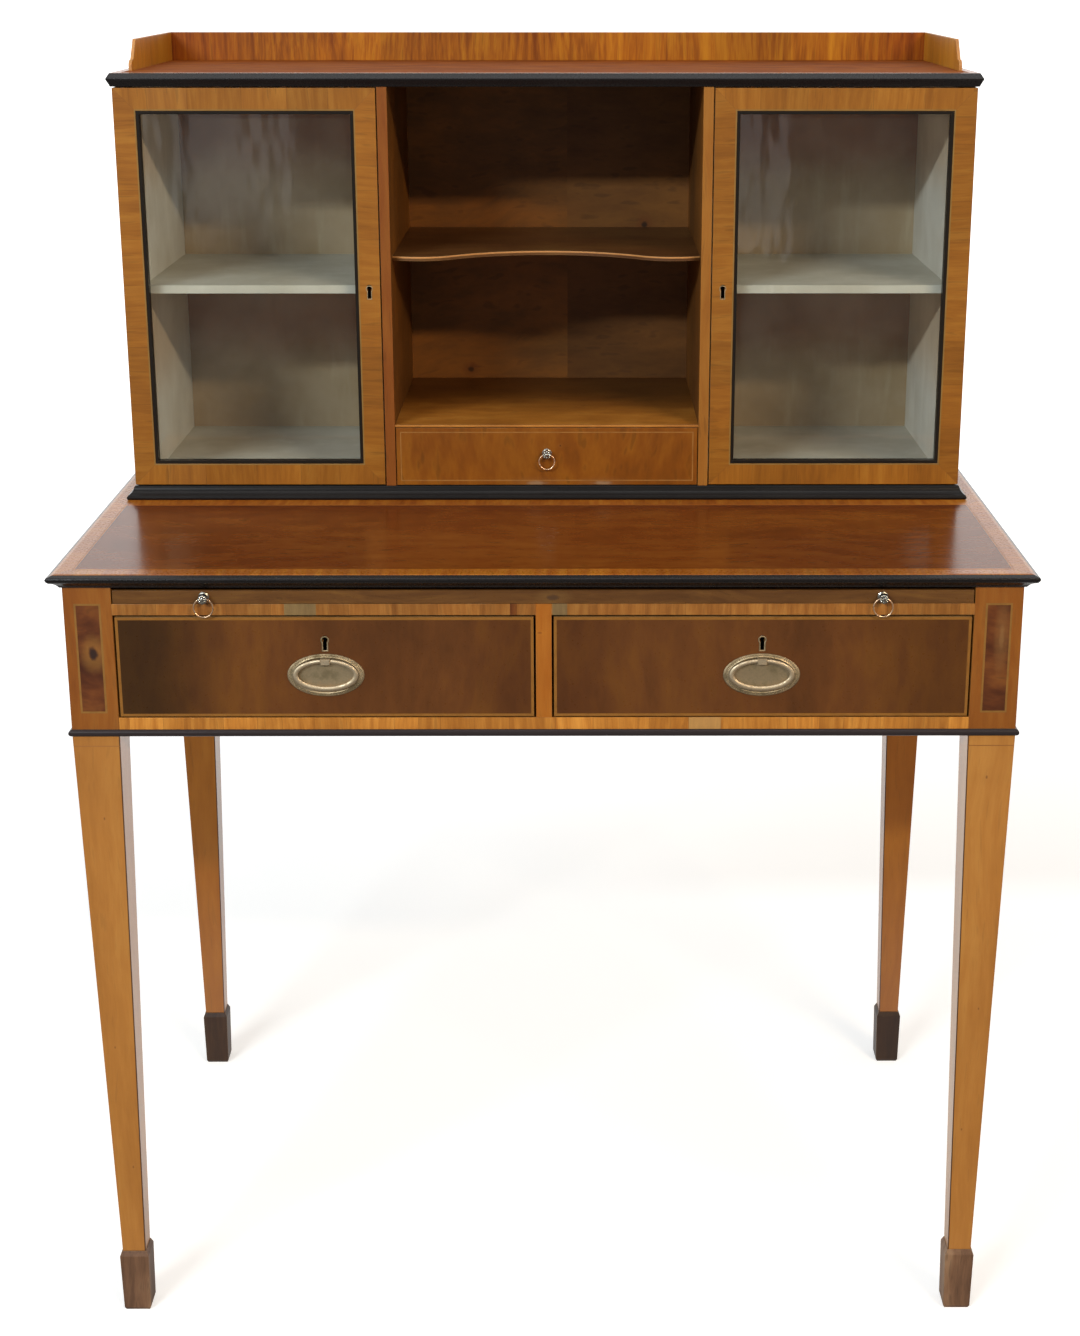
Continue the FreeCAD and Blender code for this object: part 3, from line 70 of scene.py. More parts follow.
class Graph:
    """Adds nodes to one node tree; every call hands back the new output."""

    def __init__(self, tree: bpy.types.NodeTree) -> None:
        """Work on this tree."""
        self.tree = tree

    def add(self, kind: str, inputs: dict | None = None, **settings: object) -> bpy.types.Node:
        """Add a shader node.

        Args:
            kind: The node's type without its usual prefix.
            inputs: Values or outputs for its sockets, by name or number.
            **settings: The node's own properties.

        Returns:
            The new node.
        """
        node = self.tree.nodes.new("ShaderNode" + kind)
        for name, value in settings.items():
            setattr(node, name, value)
        self.plug(node, inputs or {})
        return node

    def plug(self, node: bpy.types.Node, inputs: dict) -> None:
        """Set or link a node's sockets.

        Args:
            node: The node.
            inputs: Values or outputs for its sockets, by name or number.
        """
        for name, value in inputs.items():
            socket = node.inputs[name]
            if isinstance(value, Socket):
                self.tree.links.new(value, socket)
            else:
                socket.default_value = value

    def math(self, operation: str, *values: object) -> Socket:
        """One step of arithmetic."""
        return self.add("Math", dict(enumerate(values)), operation=operation).outputs[0]

    def times(self, first: object, second: object) -> Socket:
        """The product of two numbers."""
        return self.math("MULTIPLY", first, second)

    def minus(self, first: object, second: object) -> Socket:
        """The difference of two numbers."""
        return self.math("SUBTRACT", first, second)

    def clipped(self, operation: str, *values: object) -> Socket:
        """One step of arithmetic, held between nought and one."""
        node = self.add("Math", dict(enumerate(values)), operation=operation, use_clamp=True)
        return node.outputs[0]

    def vector(self, operation: str, *values: object) -> Socket:
        """One step of vector arithmetic."""
        node = self.add("VectorMath", dict(enumerate(values)), operation=operation)
        return node.outputs["Value" if operation in ("DOT_PRODUCT", "LENGTH") else 0]

    def scaled(self, vector: object, amount: object) -> Socket:
        """A vector made longer or shorter."""
        return self.add("VectorMath", {0: vector, 3: amount}, operation="SCALE").outputs[0]

    def mix(self, factor: object, low: object, high: object, way: str = "MIX") -> Socket:
        """Mix two colours."""
        node = self.add("Mix", {0: factor, 6: low, 7: high}, data_type="RGBA", blend_type=way)
        return node.outputs[2]

    def between(self, factor: object, low: object, high: object) -> Socket:
        """Mix two numbers."""
        return self.add("Mix", {0: factor, 2: low, 3: high}, data_type="FLOAT").outputs[0]

    def step(self, value: object, low: float, high: float) -> Socket:
        """Rise smoothly from nought at low to one at high."""
        inputs = {"Value": value, "From Min": low, "From Max": high}
        return self.add("MapRange", inputs, interpolation_type="SMOOTHSTEP").outputs[0]

    def fall(self, value: object, low: float, high: float) -> Socket:
        """Fall smoothly from one at low to nought at high."""
        return self.minus(1.0, self.step(value, low, high))

    def noise(self, where: Socket, scale: float, detail: float = 2.0, rough: float = 0.5) -> Socket:
        """Smooth noise between nought and one."""
        inputs = {"Vector": where, "Scale": scale, "Detail": detail, "Roughness": rough}
        return self.add("TexNoise", inputs).outputs[0]

    def bump(self, strength: float, distance: float, height: Socket, normal: Socket) -> Socket:
        """A normal disturbed by a height."""
        inputs = {"Strength": strength, "Distance": distance, "Height": height, "Normal": normal}
        return self.add("Bump", inputs).outputs[0]

    def place(self) -> Socket:
        """The piece's own coordinates in metres."""
        return self.add("TexCoord").outputs["Object"]

    def parts(self, vector: Socket) -> bpy.types.Node:
        """The three parts of a vector."""
        return self.add("SeparateXYZ", {0: vector})

    def either(self, factor: object, low: object, high: object) -> Socket:
        """Mix two vectors."""
        return self.add("Mix", {0: factor, 4: low, 5: high}, data_type="VECTOR").outputs[1]

    def grey(self, value: Socket) -> Socket:
        """A grey of this value."""
        return self.add("CombineColor", {0: value, 1: value, 2: value}).outputs[0]


class Effect:
    """A shader node group that several finishes share."""

    name = ""
    takes: tuple[tuple[str, str], ...] = ()
    gives: tuple[tuple[str, str], ...] = ()

    def fill(self, g: Graph, entry: dict[str, Socket]) -> dict[str, Socket]:
        """Build the group's nodes and return its outputs by name."""
        raise NotImplementedError

    def group(self) -> bpy.types.NodeTree:
        """The group, built the first time that it is asked for."""
        known = bpy.data.node_groups.get(self.name)
        if known:
            return known
        tree = bpy.data.node_groups.new(self.name, "ShaderNodeTree")
        for name, kind in self.takes:
            tree.interface.new_socket(name=name, in_out="INPUT", socket_type="NodeSocket" + kind)
        for name, kind in self.gives:
            tree.interface.new_socket(name=name, in_out="OUTPUT", socket_type="NodeSocket" + kind)
        start = tree.nodes.new("NodeGroupInput")
        end = tree.nodes.new("NodeGroupOutput")
        entry = {name: start.outputs[name] for name, _ in self.takes}
        for name, socket in self.fill(Graph(tree), entry).items():
            tree.links.new(socket, end.inputs[name])
        return tree

    def use(self, g: Graph, **inputs: object) -> dict[str, Socket]:
        """Put the group into a graph.

        Args:
            g: The graph that takes it.
            **inputs: Values or outputs for its sockets; an underscore stands for a space.

        Returns:
            Its outputs by name.
        """
        node = g.add("Group", node_tree=self.group())
        g.plug(node, spaced(inputs))
        return {name: node.outputs[name] for name, _ in self.gives}


class Figure(Effect):
    """Fibres, cloudy figure and pores of sawn veneer."""

    name = "wood figure"
    takes = (("Vector", "Vector"), ("Stretch", "Vector"), ("Seed", "Float"), ("Wander", "Float"))
    gives = (("Cloud", "Float"), ("Fibre", "Float"), ("Pores", "Float"), ("Ripple", "Float"))

    def fill(self, g: Graph, entry: dict[str, Socket]) -> dict[str, Socket]:
        """Stretch three scales of noise along the fibres."""
        shifted = g.vector("ADD", entry["Vector"], entry["Seed"])
        drift = g.add("TexNoise", {"Vector": shifted, "Scale": 7.0, "Detail": 1.0}).outputs[1]
        drift = g.scaled(g.vector("SUBTRACT", drift, (0.5, 0.5, 0.5)), entry["Wander"])
        bent = g.vector("ADD", shifted, drift)
        long = g.vector("MULTIPLY", bent, entry["Stretch"])
        cloud = g.noise(long, 0.35, 3.0, 0.6)
        fibre = g.noise(long, 4.5, 3.0, 0.65)
        pores = g.step(g.noise(long, 9.0, 1.0, 0.4), 0.60, 0.74)
        ripple = g.noise(g.vector("ADD", long, g.scaled(shifted, 38.0)), 0.6, 2.0, 0.5)
        return {"Cloud": cloud, "Fibre": fibre, "Pores": pores, "Ripple": ripple}


class BlockEdge(Effect):
    """Distance to the border of a block: negative inside."""

    name = "block edge"
    takes = (("Vector", "Vector"), ("Low", "Vector"), ("High", "Vector"))
    gives = (("Distance", "Float"),)

    def fill(self, g: Graph, entry: dict[str, Socket]) -> dict[str, Socket]:
        """Take the largest overstep of the six faces."""
        below = g.vector("SUBTRACT", entry["Low"], entry["Vector"])
        above = g.vector("SUBTRACT", entry["Vector"], entry["High"])
        most = g.parts(g.vector("MAXIMUM", below, above))
        pair = g.math("MAXIMUM", most.outputs[0], most.outputs[1])
        return {"Distance": g.math("MAXIMUM", pair, most.outputs[2])}


class Line(Effect):
    """A thin band at a set distance from a border."""

    name = "line"
    takes = (("Distance", "Float"), ("At", "Float"), ("Width", "Float"))
    gives = (("Mask", "Float"),)

    def fill(self, g: Graph, entry: dict[str, Socket]) -> dict[str, Socket]:
        """Compare the distance with half the width."""
        off = g.math("ABSOLUTE", g.minus(entry["Distance"], entry["At"]))
        over = g.minus(off, g.times(entry["Width"], 0.5))
        return {"Mask": g.fall(over, -0.00012, 0.00012)}


class Arris(Effect):
    """Softened edges and where they are rubbed."""

    name = "arris"
    takes = (("Vector", "Vector"), ("Rub", "Float"))
    gives = (("Mask", "Float"), ("Normal", "Vector"))

    def fill(self, g: Graph, entry: dict[str, Socket]) -> dict[str, Socket]:
        """Compare the rounded normal with the flat one, broken up by noise."""
        round_ = g.add("Bevel", {"Radius": 0.0009}, samples=6).outputs[0]
        flat = g.add("NewGeometry").outputs["Normal"]
        turn = g.minus(1.0, g.vector("DOT_PRODUCT", round_, flat))
        patch = g.math("ADD", g.noise(entry["Vector"], 60.0, 3.0, 0.6), entry["Rub"])
        rubbed = g.clipped("MULTIPLY", g.step(turn, 0.02, 0.2), g.step(patch, 0.75, 1.05))
        return {"Mask": rubbed, "Normal": round_}


class Blocks(Effect):
    """A band made of short pieces laid one beside another."""

    name = "laid blocks"
    takes = (("Run", "Float"), ("Length", "Float"), ("Seed", "Float"))
    gives = (("Tone", "Float"), ("Other", "Float"), ("Joint", "Float"))

    def fill(self, g: Graph, entry: dict[str, Socket]) -> dict[str, Socket]:
        """Cut the run into cells of uneven length, each with its own number."""
        run = g.math("DIVIDE", g.math("ADD", entry["Run"], entry["Seed"]), entry["Length"])
        cells = {"W": run, "Scale": 1.0, "Randomness": 0.9}
        one = g.add("TexVoronoi", cells, voronoi_dimensions="1D")
        edge = g.add("TexVoronoi", cells, voronoi_dimensions="1D", feature="DISTANCE_TO_EDGE")
        number = g.parts(one.outputs["Color"])
        away = g.times(edge.outputs["Distance"], entry["Length"])
        joint = g.fall(away, 0.00005, 0.0004)
        return {"Tone": number.outputs[0], "Other": number.outputs[1], "Joint": joint}


class Grime(Effect):
    """Dust, wax and old dirt in uneven patches."""

    name = "grime"
    takes = (("Vector", "Vector"), ("Amount", "Float"))
    gives = (("Mask", "Float"), ("Fine", "Float"))

    def fill(self, g: Graph, entry: dict[str, Socket]) -> dict[str, Socket]:
        """Lay large patches over fine specks."""
        patch = g.step(g.noise(entry["Vector"], 9.0, 4.0, 0.6), 0.35, 0.75)
        fine = g.noise(entry["Vector"], 420.0, 3.0, 0.7)
        both = g.times(g.math("ADD", patch, g.times(fine, 0.4)), 0.72)
        return {"Mask": g.clipped("MULTIPLY", both, entry["Amount"]), "Fine": fine}


class Mitre(Effect):
    """Where a point lies in a border whose corners are mitred."""

    name = "mitred border"
    takes = (
        ("U", "Float"),
        ("V", "Float"),
        ("Low U", "Float"),
        ("High U", "Float"),
        ("Low V", "Float"),
        ("High V", "Float"),
    )
    gives = (("Depth", "Float"), ("Side", "Float"), ("Joint", "Float"), ("Run", "Float"))

    def fill(self, g: Graph, entry: dict[str, Socket]) -> dict[str, Socket]:
        """Compare the distances to the two pairs of edges."""
        near = []
        for axis in ("U", "V"):
            low = g.minus(entry[axis], entry["Low " + axis])
            high = g.minus(entry["High " + axis], entry[axis])
            near.append(g.math("MINIMUM", low, high))
        lead = g.minus(near[1], near[0])
        side = g.step(lead, -0.00005, 0.00005)
        joint = g.fall(g.math("ABSOLUTE", lead), 0.0001, 0.0004)
        run = g.between(side, entry["U"], entry["V"])
        return {"Depth": g.math("MINIMUM", *near), "Side": side, "Joint": joint, "Run": run}


class Swirl(Effect):
    """A knot: a dark eye in a lighter flame that dies away round it."""

    name = "knot"
    takes = (("Vector", "Vector"), ("Eye", "Vector"), ("Size", "Vector"))
    gives = (("Eye", "Float"), ("Flame", "Float"))

    def fill(self, g: Graph, entry: dict[str, Socket]) -> dict[str, Socket]:
        """Measure the distance in knot sizes, broken up by noise."""
        away = g.vector("DIVIDE", g.vector("SUBTRACT", entry["Vector"], entry["Eye"]), entry["Size"])
        far = g.vector("LENGTH", away)
        far = g.math("ADD", far, g.times(g.noise(entry["Vector"], 160.0, 3.0), 0.9))
        eye = g.fall(far, 0.8, 1.5)
        flame = g.clipped("SUBTRACT", g.fall(far, 1.4, 3.4), eye)
        return {"Eye": eye, "Flame": flame}


FIGURE, EDGE, LINE, ARRIS, BLOCKS, GRIME = Figure(), BlockEdge(), Line(), Arris(), Blocks(), Grime()
MITRE, SWIRL = Mitre(), Swirl()


class Grain(Enum):
    """The way that the fibres run: cycles of figure for each metre along each axis."""

    ALONG_X = (3.0, 42.0, 42.0)
    ALONG_Y = (42.0, 3.0, 42.0)
    ALONG_Z = (42.0, 42.0, 3.0)
    BOARD_X = (5.0, 16.0, 16.0)
    BOARD_Z = (16.0, 16.0, 5.0)


@dataclass(frozen=True)
class Wood:
    """The colours and contrast of one kind of wood."""

    dark: str
    middle: str
    light: str
    pore: str
    cloud: float = 0.5
    fibre: float = 0.35
    pores: float = 0.35
    ripple: float = 0.2


@dataclass
class Look:
    """What a surface shows so far."""

    colour: Socket
    height: Socket
    matt: Socket | float = 0.0


@dataclass(frozen=True)
class Laid:
    """A wood with the way its fibres run."""

    wood: Wood
    grain: Grain
    seed: float = 0.0
    wander: float = 0.02

    def dress(self, g: Graph, where: Socket, stretch: Socket | None = None) -> tuple[Socket, Socket]:
        """Build the colour and the pore height.

        Args:
            g: The material's graph.
            where: The piece's coordinates.
            stretch: The way of the fibres, where it isn't the same everywhere.

        Returns:
            The colour and the depth of pores and fibres.
        """
        wood = self.wood
        way = self.grain.value if stretch is None else stretch
        f = FIGURE.use(g, Vector=where, Stretch=way, Seed=self.seed, Wander=self.wander)
        broad = g.between(wood.ripple, f["Cloud"], f["Ripple"])
        shade = g.between(wood.fibre, broad, f["Fibre"])
        reach = 0.32 * (1.3 - wood.cloud)
        spread = g.step(shade, 0.5 - reach, 0.5 + reach)
        lower = g.mix(g.clipped("MULTIPLY", spread, 2.0), tone(wood.dark), tone(wood.middle))
        upper = g.clipped("MULTIPLY_ADD", spread, 2.0, -1.0)
        colour = g.mix(upper, lower, tone(wood.light))
        colour = g.mix(g.times(f["Pores"], wood.pores), colour, tone(wood.pore))
        return colour, g.minus(f["Fibre"], f["Pores"])


def inside(g: Graph, where: Socket, low: Point, high: Point) -> Socket:
    """A mask that is one within a block of space."""
    away = EDGE.use(g, Vector=where, Low=low, High=high)["Distance"]
    return g.fall(away, -0.0001, 0.0001)


@dataclass(frozen=True)
class Cells:
    """How a crossband is pieced together."""

    length: float
    seed: float = 0.0
    odd: float = 0.86
    other: str = "#8C7B5E"
    low: float = 0.80
    high: float = 1.18
    joint: float = 0.4

    def piece(self, g: Graph, colour: Socket, run: Socket) -> Socket:
        """Tint each short piece and draw the joints between them.

        Args:
            g: The graph.
            colour: The wood's colour.
            run: The distance along the band.

        Returns:
            The tinted colour.
        """
        cell = BLOCKS.use(g, Run=run, Length=self.length, Seed=self.seed)
        lift = g.grey(g.between(cell["Tone"], self.low, self.high))
        colour = g.mix(1.0, colour, lift, "MULTIPLY")
        strange = g.times(g.step(cell["Other"], self.odd, self.odd + 0.02), 0.7)
        colour = g.mix(strange, colour, tone(self.other))
        return g.mix(g.times(cell["Joint"], self.joint), colour, tone("#4A2810"))


WIDE = 10.0
EVERYWHERE = ((-WIDE, -WIDE, -WIDE), (WIDE, WIDE, WIDE))
KNOT_DEPTH = 0.02


class Layer:
    """Something laid over a surface."""

    def lay(self, g: Graph, where: Socket, look: Look) -> None:
        """Change the look where the layer lies."""
        raise NotImplementedError


@dataclass(frozen=True)
class Region(Layer):
    """A block of space in which another veneer shows."""

    laid: Laid
    low: Point
    high: Point
    cells: Cells | None = None
    run: int = 0

    def lay(self, g: Graph, where: Socket, look: Look) -> None:
        """Lay the veneer over the look."""
        colour, _ = self.laid.dress(g, where)
        if self.cells:
            colour = self.cells.piece(g, colour, g.parts(where).outputs[self.run])
        look.colour = g.mix(inside(g, where, self.low, self.high), look.colour, colour)


@dataclass(frozen=True)
class Band(Layer):
    """A crossband round a rectangle, mitred at its corners, with a line along its inside."""

    wood: Wood
    plane: tuple[int, int]
    low: Point
    high: Point
    width: float
    cells: Cells
    line: str = "#3A1C0A"
    line_width: float = 0.0008

    def lay(self, g: Graph, where: Socket, look: Look) -> None:
        """Lay the band and its line over the look."""
        u, v = self.plane
        ways = (Grain.ALONG_X, Grain.ALONG_Y, Grain.ALONG_Z)
        parts = g.parts(where)
        spot = MITRE.use(
            g,
            U=parts.outputs[u],
            V=parts.outputs[v],
            Low_U=self.low[u],
            High_U=self.high[u],
            Low_V=self.low[v],
            High_V=self.high[v],
        )
        way = g.either(spot["Side"], ways[v].value, ways[u].value)
        laid = Laid(self.wood, ways[v], self.cells.seed + 3.0)
        colour, _ = laid.dress(g, where, way)
        colour = self.cells.piece(g, colour, spot["Run"])
        colour = g.mix(g.times(spot["Joint"], 0.7), colour, tone(self.line))
        whole = inside(g, where, self.low, self.high)
        here = g.fall(spot["Depth"], self.width, self.width + 0.0001)
        look.colour = g.mix(g.times(whole, here), look.colour, colour)
        mask = LINE.use(g, Distance=spot["Depth"], At=self.width, Width=self.line_width)["Mask"]
        look.colour = g.mix(g.times(whole, mask), look.colour, tone(self.line))


@dataclass(frozen=True)
class Stringing(Layer):
    """An inlaid line inside the border of a block."""

    low: Point
    high: Point
    inset: float
    width: float
    colour: str
    darker: str = "#5A3C1C"

    def lay(self, g: Graph, where: Socket, look: Look) -> None:
        """Draw the line over the look."""
        away = EDGE.use(g, Vector=where, Low=self.low, High=self.high)["Distance"]
        mask = LINE.use(g, Distance=away, At=-self.inset, Width=self.width)["Mask"]
        patch = g.step(g.noise(where, 70.0, 3.0, 0.7), 0.35, 0.85)
        drawn = g.mix(g.times(patch, 0.6), tone(self.colour), tone(self.darker))
        look.colour = g.mix(mask, look.colour, drawn)


@dataclass(frozen=True)
class Knot(Layer):
    """A knot in the wood, seen from the front."""

    eye: Point
    width: float
    height: float
    dark: str
    light: str
    strength: float = 0.8

    def lay(self, g: Graph, where: Socket, look: Look) -> None:
        """Darken the eye and lighten the flame."""
        size = (self.width, KNOT_DEPTH, self.height)
        spot = SWIRL.use(g, Vector=where, Eye=self.eye, Size=size)
        flame = g.times(spot["Flame"], self.strength * 0.5)
        look.colour = g.mix(flame, look.colour, tone(self.light))
        eye = g.times(spot["Eye"], self.strength)
        look.colour = g.mix(eye, look.colour, tone(self.dark))


@dataclass(frozen=True)
class Seam(Layer):
    """A dark line down the inner arris of a tapered leg."""

    top: Point
    foot: Point
    width: float
    colour: str

    def lay(self, g: Graph, where: Socket, look: Look) -> None:
        """Follow the arris and draw a line of this width."""
        parts = g.parts(where).outputs
        away = []
        for axis in (0, 1):
            slope = (self.top[axis] - self.foot[axis]) / (self.top[2] - self.foot[2])
            line = g.math("MULTIPLY_ADD", parts[2], slope, self.top[axis] - slope * self.top[2])
            away.append(g.math("ABSOLUTE", g.minus(parts[axis], line)))
        mask = g.fall(g.math("MAXIMUM", *away), self.width * 0.6, self.width)
        below = g.math("LESS_THAN", parts[2], self.top[2])
        mask = g.times(g.times(mask, below), 0.85)
        look.colour = g.mix(mask, look.colour, tone(self.colour))


@dataclass(frozen=True)
class Facing(Layer):
    """A wood that shows on the faces that look one way."""

    laid: Laid
    way: Point
    low: Point = EVERYWHERE[0]
    high: Point = EVERYWHERE[1]

    def lay(self, g: Graph, where: Socket, look: Look) -> None:
        """Lay the wood where the normal agrees with the way."""
        normal = g.add("TexCoord").outputs["Normal"]
        mask = g.step(g.vector("DOT_PRODUCT", normal, self.way), 0.45, 0.55)
        mask = g.times(mask, inside(g, where, self.low, self.high))
        look.colour = g.mix(mask, look.colour, self.laid.dress(g, where)[0])


@dataclass(frozen=True)
class Fade(Layer):
    """A tint that comes in slowly along one axis within a block: a stain in some places, painted
    shade in others.
    """

    BROKEN = 0.03

    colour: str
    axis: int
    start: float
    end: float
    low: Point = EVERYWHERE[0]
    high: Point = EVERYWHERE[1]

    def lay(self, g: Graph, where: Socket, look: Look) -> None:
        """Multiply the look by the tint."""
        along = g.parts(where).outputs[self.axis]
        along = g.math("MULTIPLY_ADD", g.noise(where, 22.0, 3.0), self.BROKEN, along)
        amount = g.step(g.minus(along, self.BROKEN / 2), self.start, self.end)
        amount = g.times(amount, inside(g, where, self.low, self.high))
        look.colour = g.mix(amount, look.colour, tone(self.colour), "MULTIPLY")


@dataclass(frozen=True)
class Distemper(Layer):
    """Old pale paint inside the cupboards, dirty and rubbed through."""

    rooms: tuple[Box, ...]
    paint: str = "#E9E6E0"
    shade: str = "#D7D0C5"
    pale: str = "#F2EFE9"

    def lay(self, g: Graph, where: Socket, look: Look) -> None:
        """Paint the rooms."""
        patch = g.step(g.noise(where, 14.0, 4.0, 0.6), 0.3, 0.7)
        streak = g.noise(g.vector("MULTIPLY", where, (60.0, 60.0, 9.0)), 1.0, 3.0, 0.6)
        colour = g.mix(g.clipped("MULTIPLY", patch, 0.7), tone(self.paint), tone(self.shade))
        colour = g.mix(g.step(streak, 0.5, 0.9), colour, tone(self.pale))
        mask = g.math("MAXIMUM", *(inside(g, where, low, high) for low, high in self.rooms))
        look.colour = g.mix(mask, look.colour, colour)
        look.matt = mask


@dataclass(frozen=True)
class Polish:
    """How a surface shines and where it is rubbed."""

    rough: float = 0.34
    spread: float = 0.16
    coat: float = 0.25
    coat_rough: float = 0.18
    bump: float = 0.05
    rub: float = 0.30
    rubbed: str = "#B58A5C"
    grime: float = 0.25
    dirt: str = "#2A1A10"
    shine: float = 0.35


WAXED = Polish(coat=0.05)
GLOSSY = Polish(rough=0.21, spread=0.10, coat=0.0, bump=0.03, grime=0.12, shine=0.14)
DRY = Polish(rough=0.72, spread=0.15, coat=0.0, bump=0.14, rub=0.1, grime=0.5, shine=0.2)
SOFT = Polish(rough=0.50, spread=0.16, coat=0.0, rub=0.2, grime=0.25, shine=0.22)
WORN = Polish(rough=0.48, coat=0.0, rub=0.55, rubbed="#A08060", grime=0.3, shine=0.3)
LEG_POLISH = Polish(rough=0.32, rub=0.1, rubbed="#C89858", grime=0.2, shine=0.44)
DRAWER_POLISH = Polish(rough=0.30, coat=0.1, rub=0.15, grime=0.2, shine=0.3)
ROOF_POLISH = Polish(
    rough=0.78, spread=0.2, coat=0.0, rub=0.35, rubbed="#A08468", grime=0.3, shine=0.12
)
SHELF_POLISH = Polish(rough=0.45, coat=0.05, rub=0.85, rubbed="#C89C68", grime=0.3, shine=0.25)
BLACK_POLISH = Polish(rough=0.28, coat=0.1, rub=0.2, rubbed="#4A3A30", grime=0.1, shine=0.25)


def new_material(name: str) -> tuple[bpy.types.Material, Graph, bpy.types.Node]:
    """Start a material.

    Args:
        name: What it is called.

    Returns:
        The material, its graph and its principled shader.
    """
    material = bpy.data.materials.new(name)
    material.use_nodes = True
    tree = material.node_tree
    return material, Graph(tree), tree.nodes["Principled BSDF"]


def join(g: Graph, shader: bpy.types.Node, **sockets: object) -> None:
    """Set or link the shader's sockets.

    Args:
        g: The material's graph.
        shader: The shader.
        **sockets: Values or outputs; an underscore stands for a space.
    """
    g.plug(shader, spaced(sockets))


def dress(material: bpy.types.Material, *nodes: str) -> None:
    """Put one material on some carried-over nodes.

    Args:
        material: The material.
        *nodes: The nodes' names.
    """
    for name in nodes:
        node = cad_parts[name]
        node.data.materials.clear()
        node.data.materials.append(material)
        LOG.info("finish %s on %s", material.name, name)


class Finish:
    """A finish that makes its own material."""

    def build(self) -> bpy.types.Material:
        """The finished material."""
        raise NotImplementedError

    def on(self, *nodes: str) -> None:
        """Put the finish on some carried-over nodes."""
        dress(self.build(), *nodes)


@dataclass(frozen=True)
class Veneered(Finish):
    """A surface of laid woods with inlaid lines, polish, rubbed edges and old dirt."""

    name: str
    ground: Laid
    layers: tuple[Layer, ...] = ()
    polish: Polish = WAXED

    def build(self) -> bpy.types.Material:
        """The finished material."""
        material, g, shader = new_material(self.name)
        where = g.place()
        look = Look(*self.ground.dress(g, where))
        for layer in self.layers:
            layer.lay(g, where, look)
        p = self.polish
        edge = ARRIS.use(g, Vector=where, Rub=p.rub)
        colour = g.mix(g.times(edge["Mask"], 0.8), look.colour, tone(p.rubbed))
        grime = GRIME.use(g, Vector=where, Amount=p.grime)
        colour = g.mix(grime["Mask"], colour, g.mix(0.55, colour, tone(p.dirt)))
        rough = g.math("MULTIPLY_ADD", grime["Fine"], p.spread, p.rough - p.spread / 2)
        rough = g.clipped("MULTIPLY_ADD", edge["Mask"], 0.2, rough)
        coat: Socket | float = p.coat
        if isinstance(look.matt, Socket):
            rough = g.between(look.matt, rough, 0.7)
            coat = g.between(look.matt, p.coat, 0.0)
        bump = g.bump(p.bump, 0.0004, look.height, edge["Normal"])
        join(g, shader, Base_Color=colour, Roughness=rough, Normal=bump, Specular_IOR_Level=p.shine)
        join(g, shader, Coat_Weight=coat, Coat_Roughness=p.coat_rough, Coat_IOR=1.5)
        return material


@dataclass(frozen=True)
class Ebonised(Finish):
    """Black polish, rubbed brown along its edges."""

    name: str = "ebonised"
    black: str = "#131213"
    warm: str = "#3B2A20"
    rough: float = 0.30

    def build(self) -> bpy.types.Material:
        """The finished material."""
        material, g, shader = new_material(self.name)
        where = g.place()
        f = FIGURE.use(g, Vector=where, Stretch=Grain.ALONG_X.value, Seed=4.0, Wander=0.02)
        base = g.mix(g.times(f["Fibre"], 0.5), tone(self.black), tone("#1C1A19"))
        edge = ARRIS.use(g, Vector=where, Rub=0.25)
        colour = g.mix(g.times(edge["Mask"], 0.7), base, tone(self.warm))
        grime = GRIME.use(g, Vector=where, Amount=0.2)
        colour = g.mix(grime["Mask"], colour, tone("#2E2B28"))
        rough = g.math("MULTIPLY_ADD", grime["Fine"], 0.16, self.rough - 0.08)
        bump = g.bump(0.06, 0.0004, f["Fibre"], edge["Normal"])
        join(g, shader, Base_Color=colour, Roughness=rough, Normal=bump)
        join(g, shader, Specular_IOR_Level=0.16, Coat_Weight=0.04, Coat_Roughness=0.12)
        return material


@dataclass(frozen=True)
class Metal(Finish):
    """Old metal: bright where it is handled, dull in its hollows."""

    name: str
    bright: str
    dull: str
    deep: str
    rough: float = 0.32
    patina: float = 0.6
    scale: float = 260.0

    def build(self) -> bpy.types.Material:
        """The finished material."""
        material, g, shader = new_material(self.name)
        where = g.place()
        cloud = g.step(g.noise(where, self.scale, 4.0, 0.65), 0.34, 0.68)
        fine = g.noise(where, self.scale * 6.0, 2.0, 0.6)
        hollow = g.add("AmbientOcclusion", {"Distance": 0.002}, samples=6).outputs["AO"]
        hollow = g.fall(hollow, 0.35, 0.95)
        worn = g.times(cloud, self.patina)
        colour = g.mix(worn, tone(self.bright), tone(self.dull))
        colour = g.mix(g.times(hollow, 0.8), colour, tone(self.deep))
        rough = g.math("MULTIPLY_ADD", cloud, 0.22, self.rough)
        rough = g.clipped("MULTIPLY_ADD", hollow, 0.2, rough)
        round_ = g.add("Bevel", {"Radius": 0.0002}, samples=4).outputs[0]
        bump = g.bump(0.12, 0.0001, fine, round_)
        metal = g.clipped("SUBTRACT", 1.0, g.times(hollow, 0.35))
        join(g, shader, Base_Color=colour, Roughness=rough, Metallic=metal, Normal=bump)
        return material


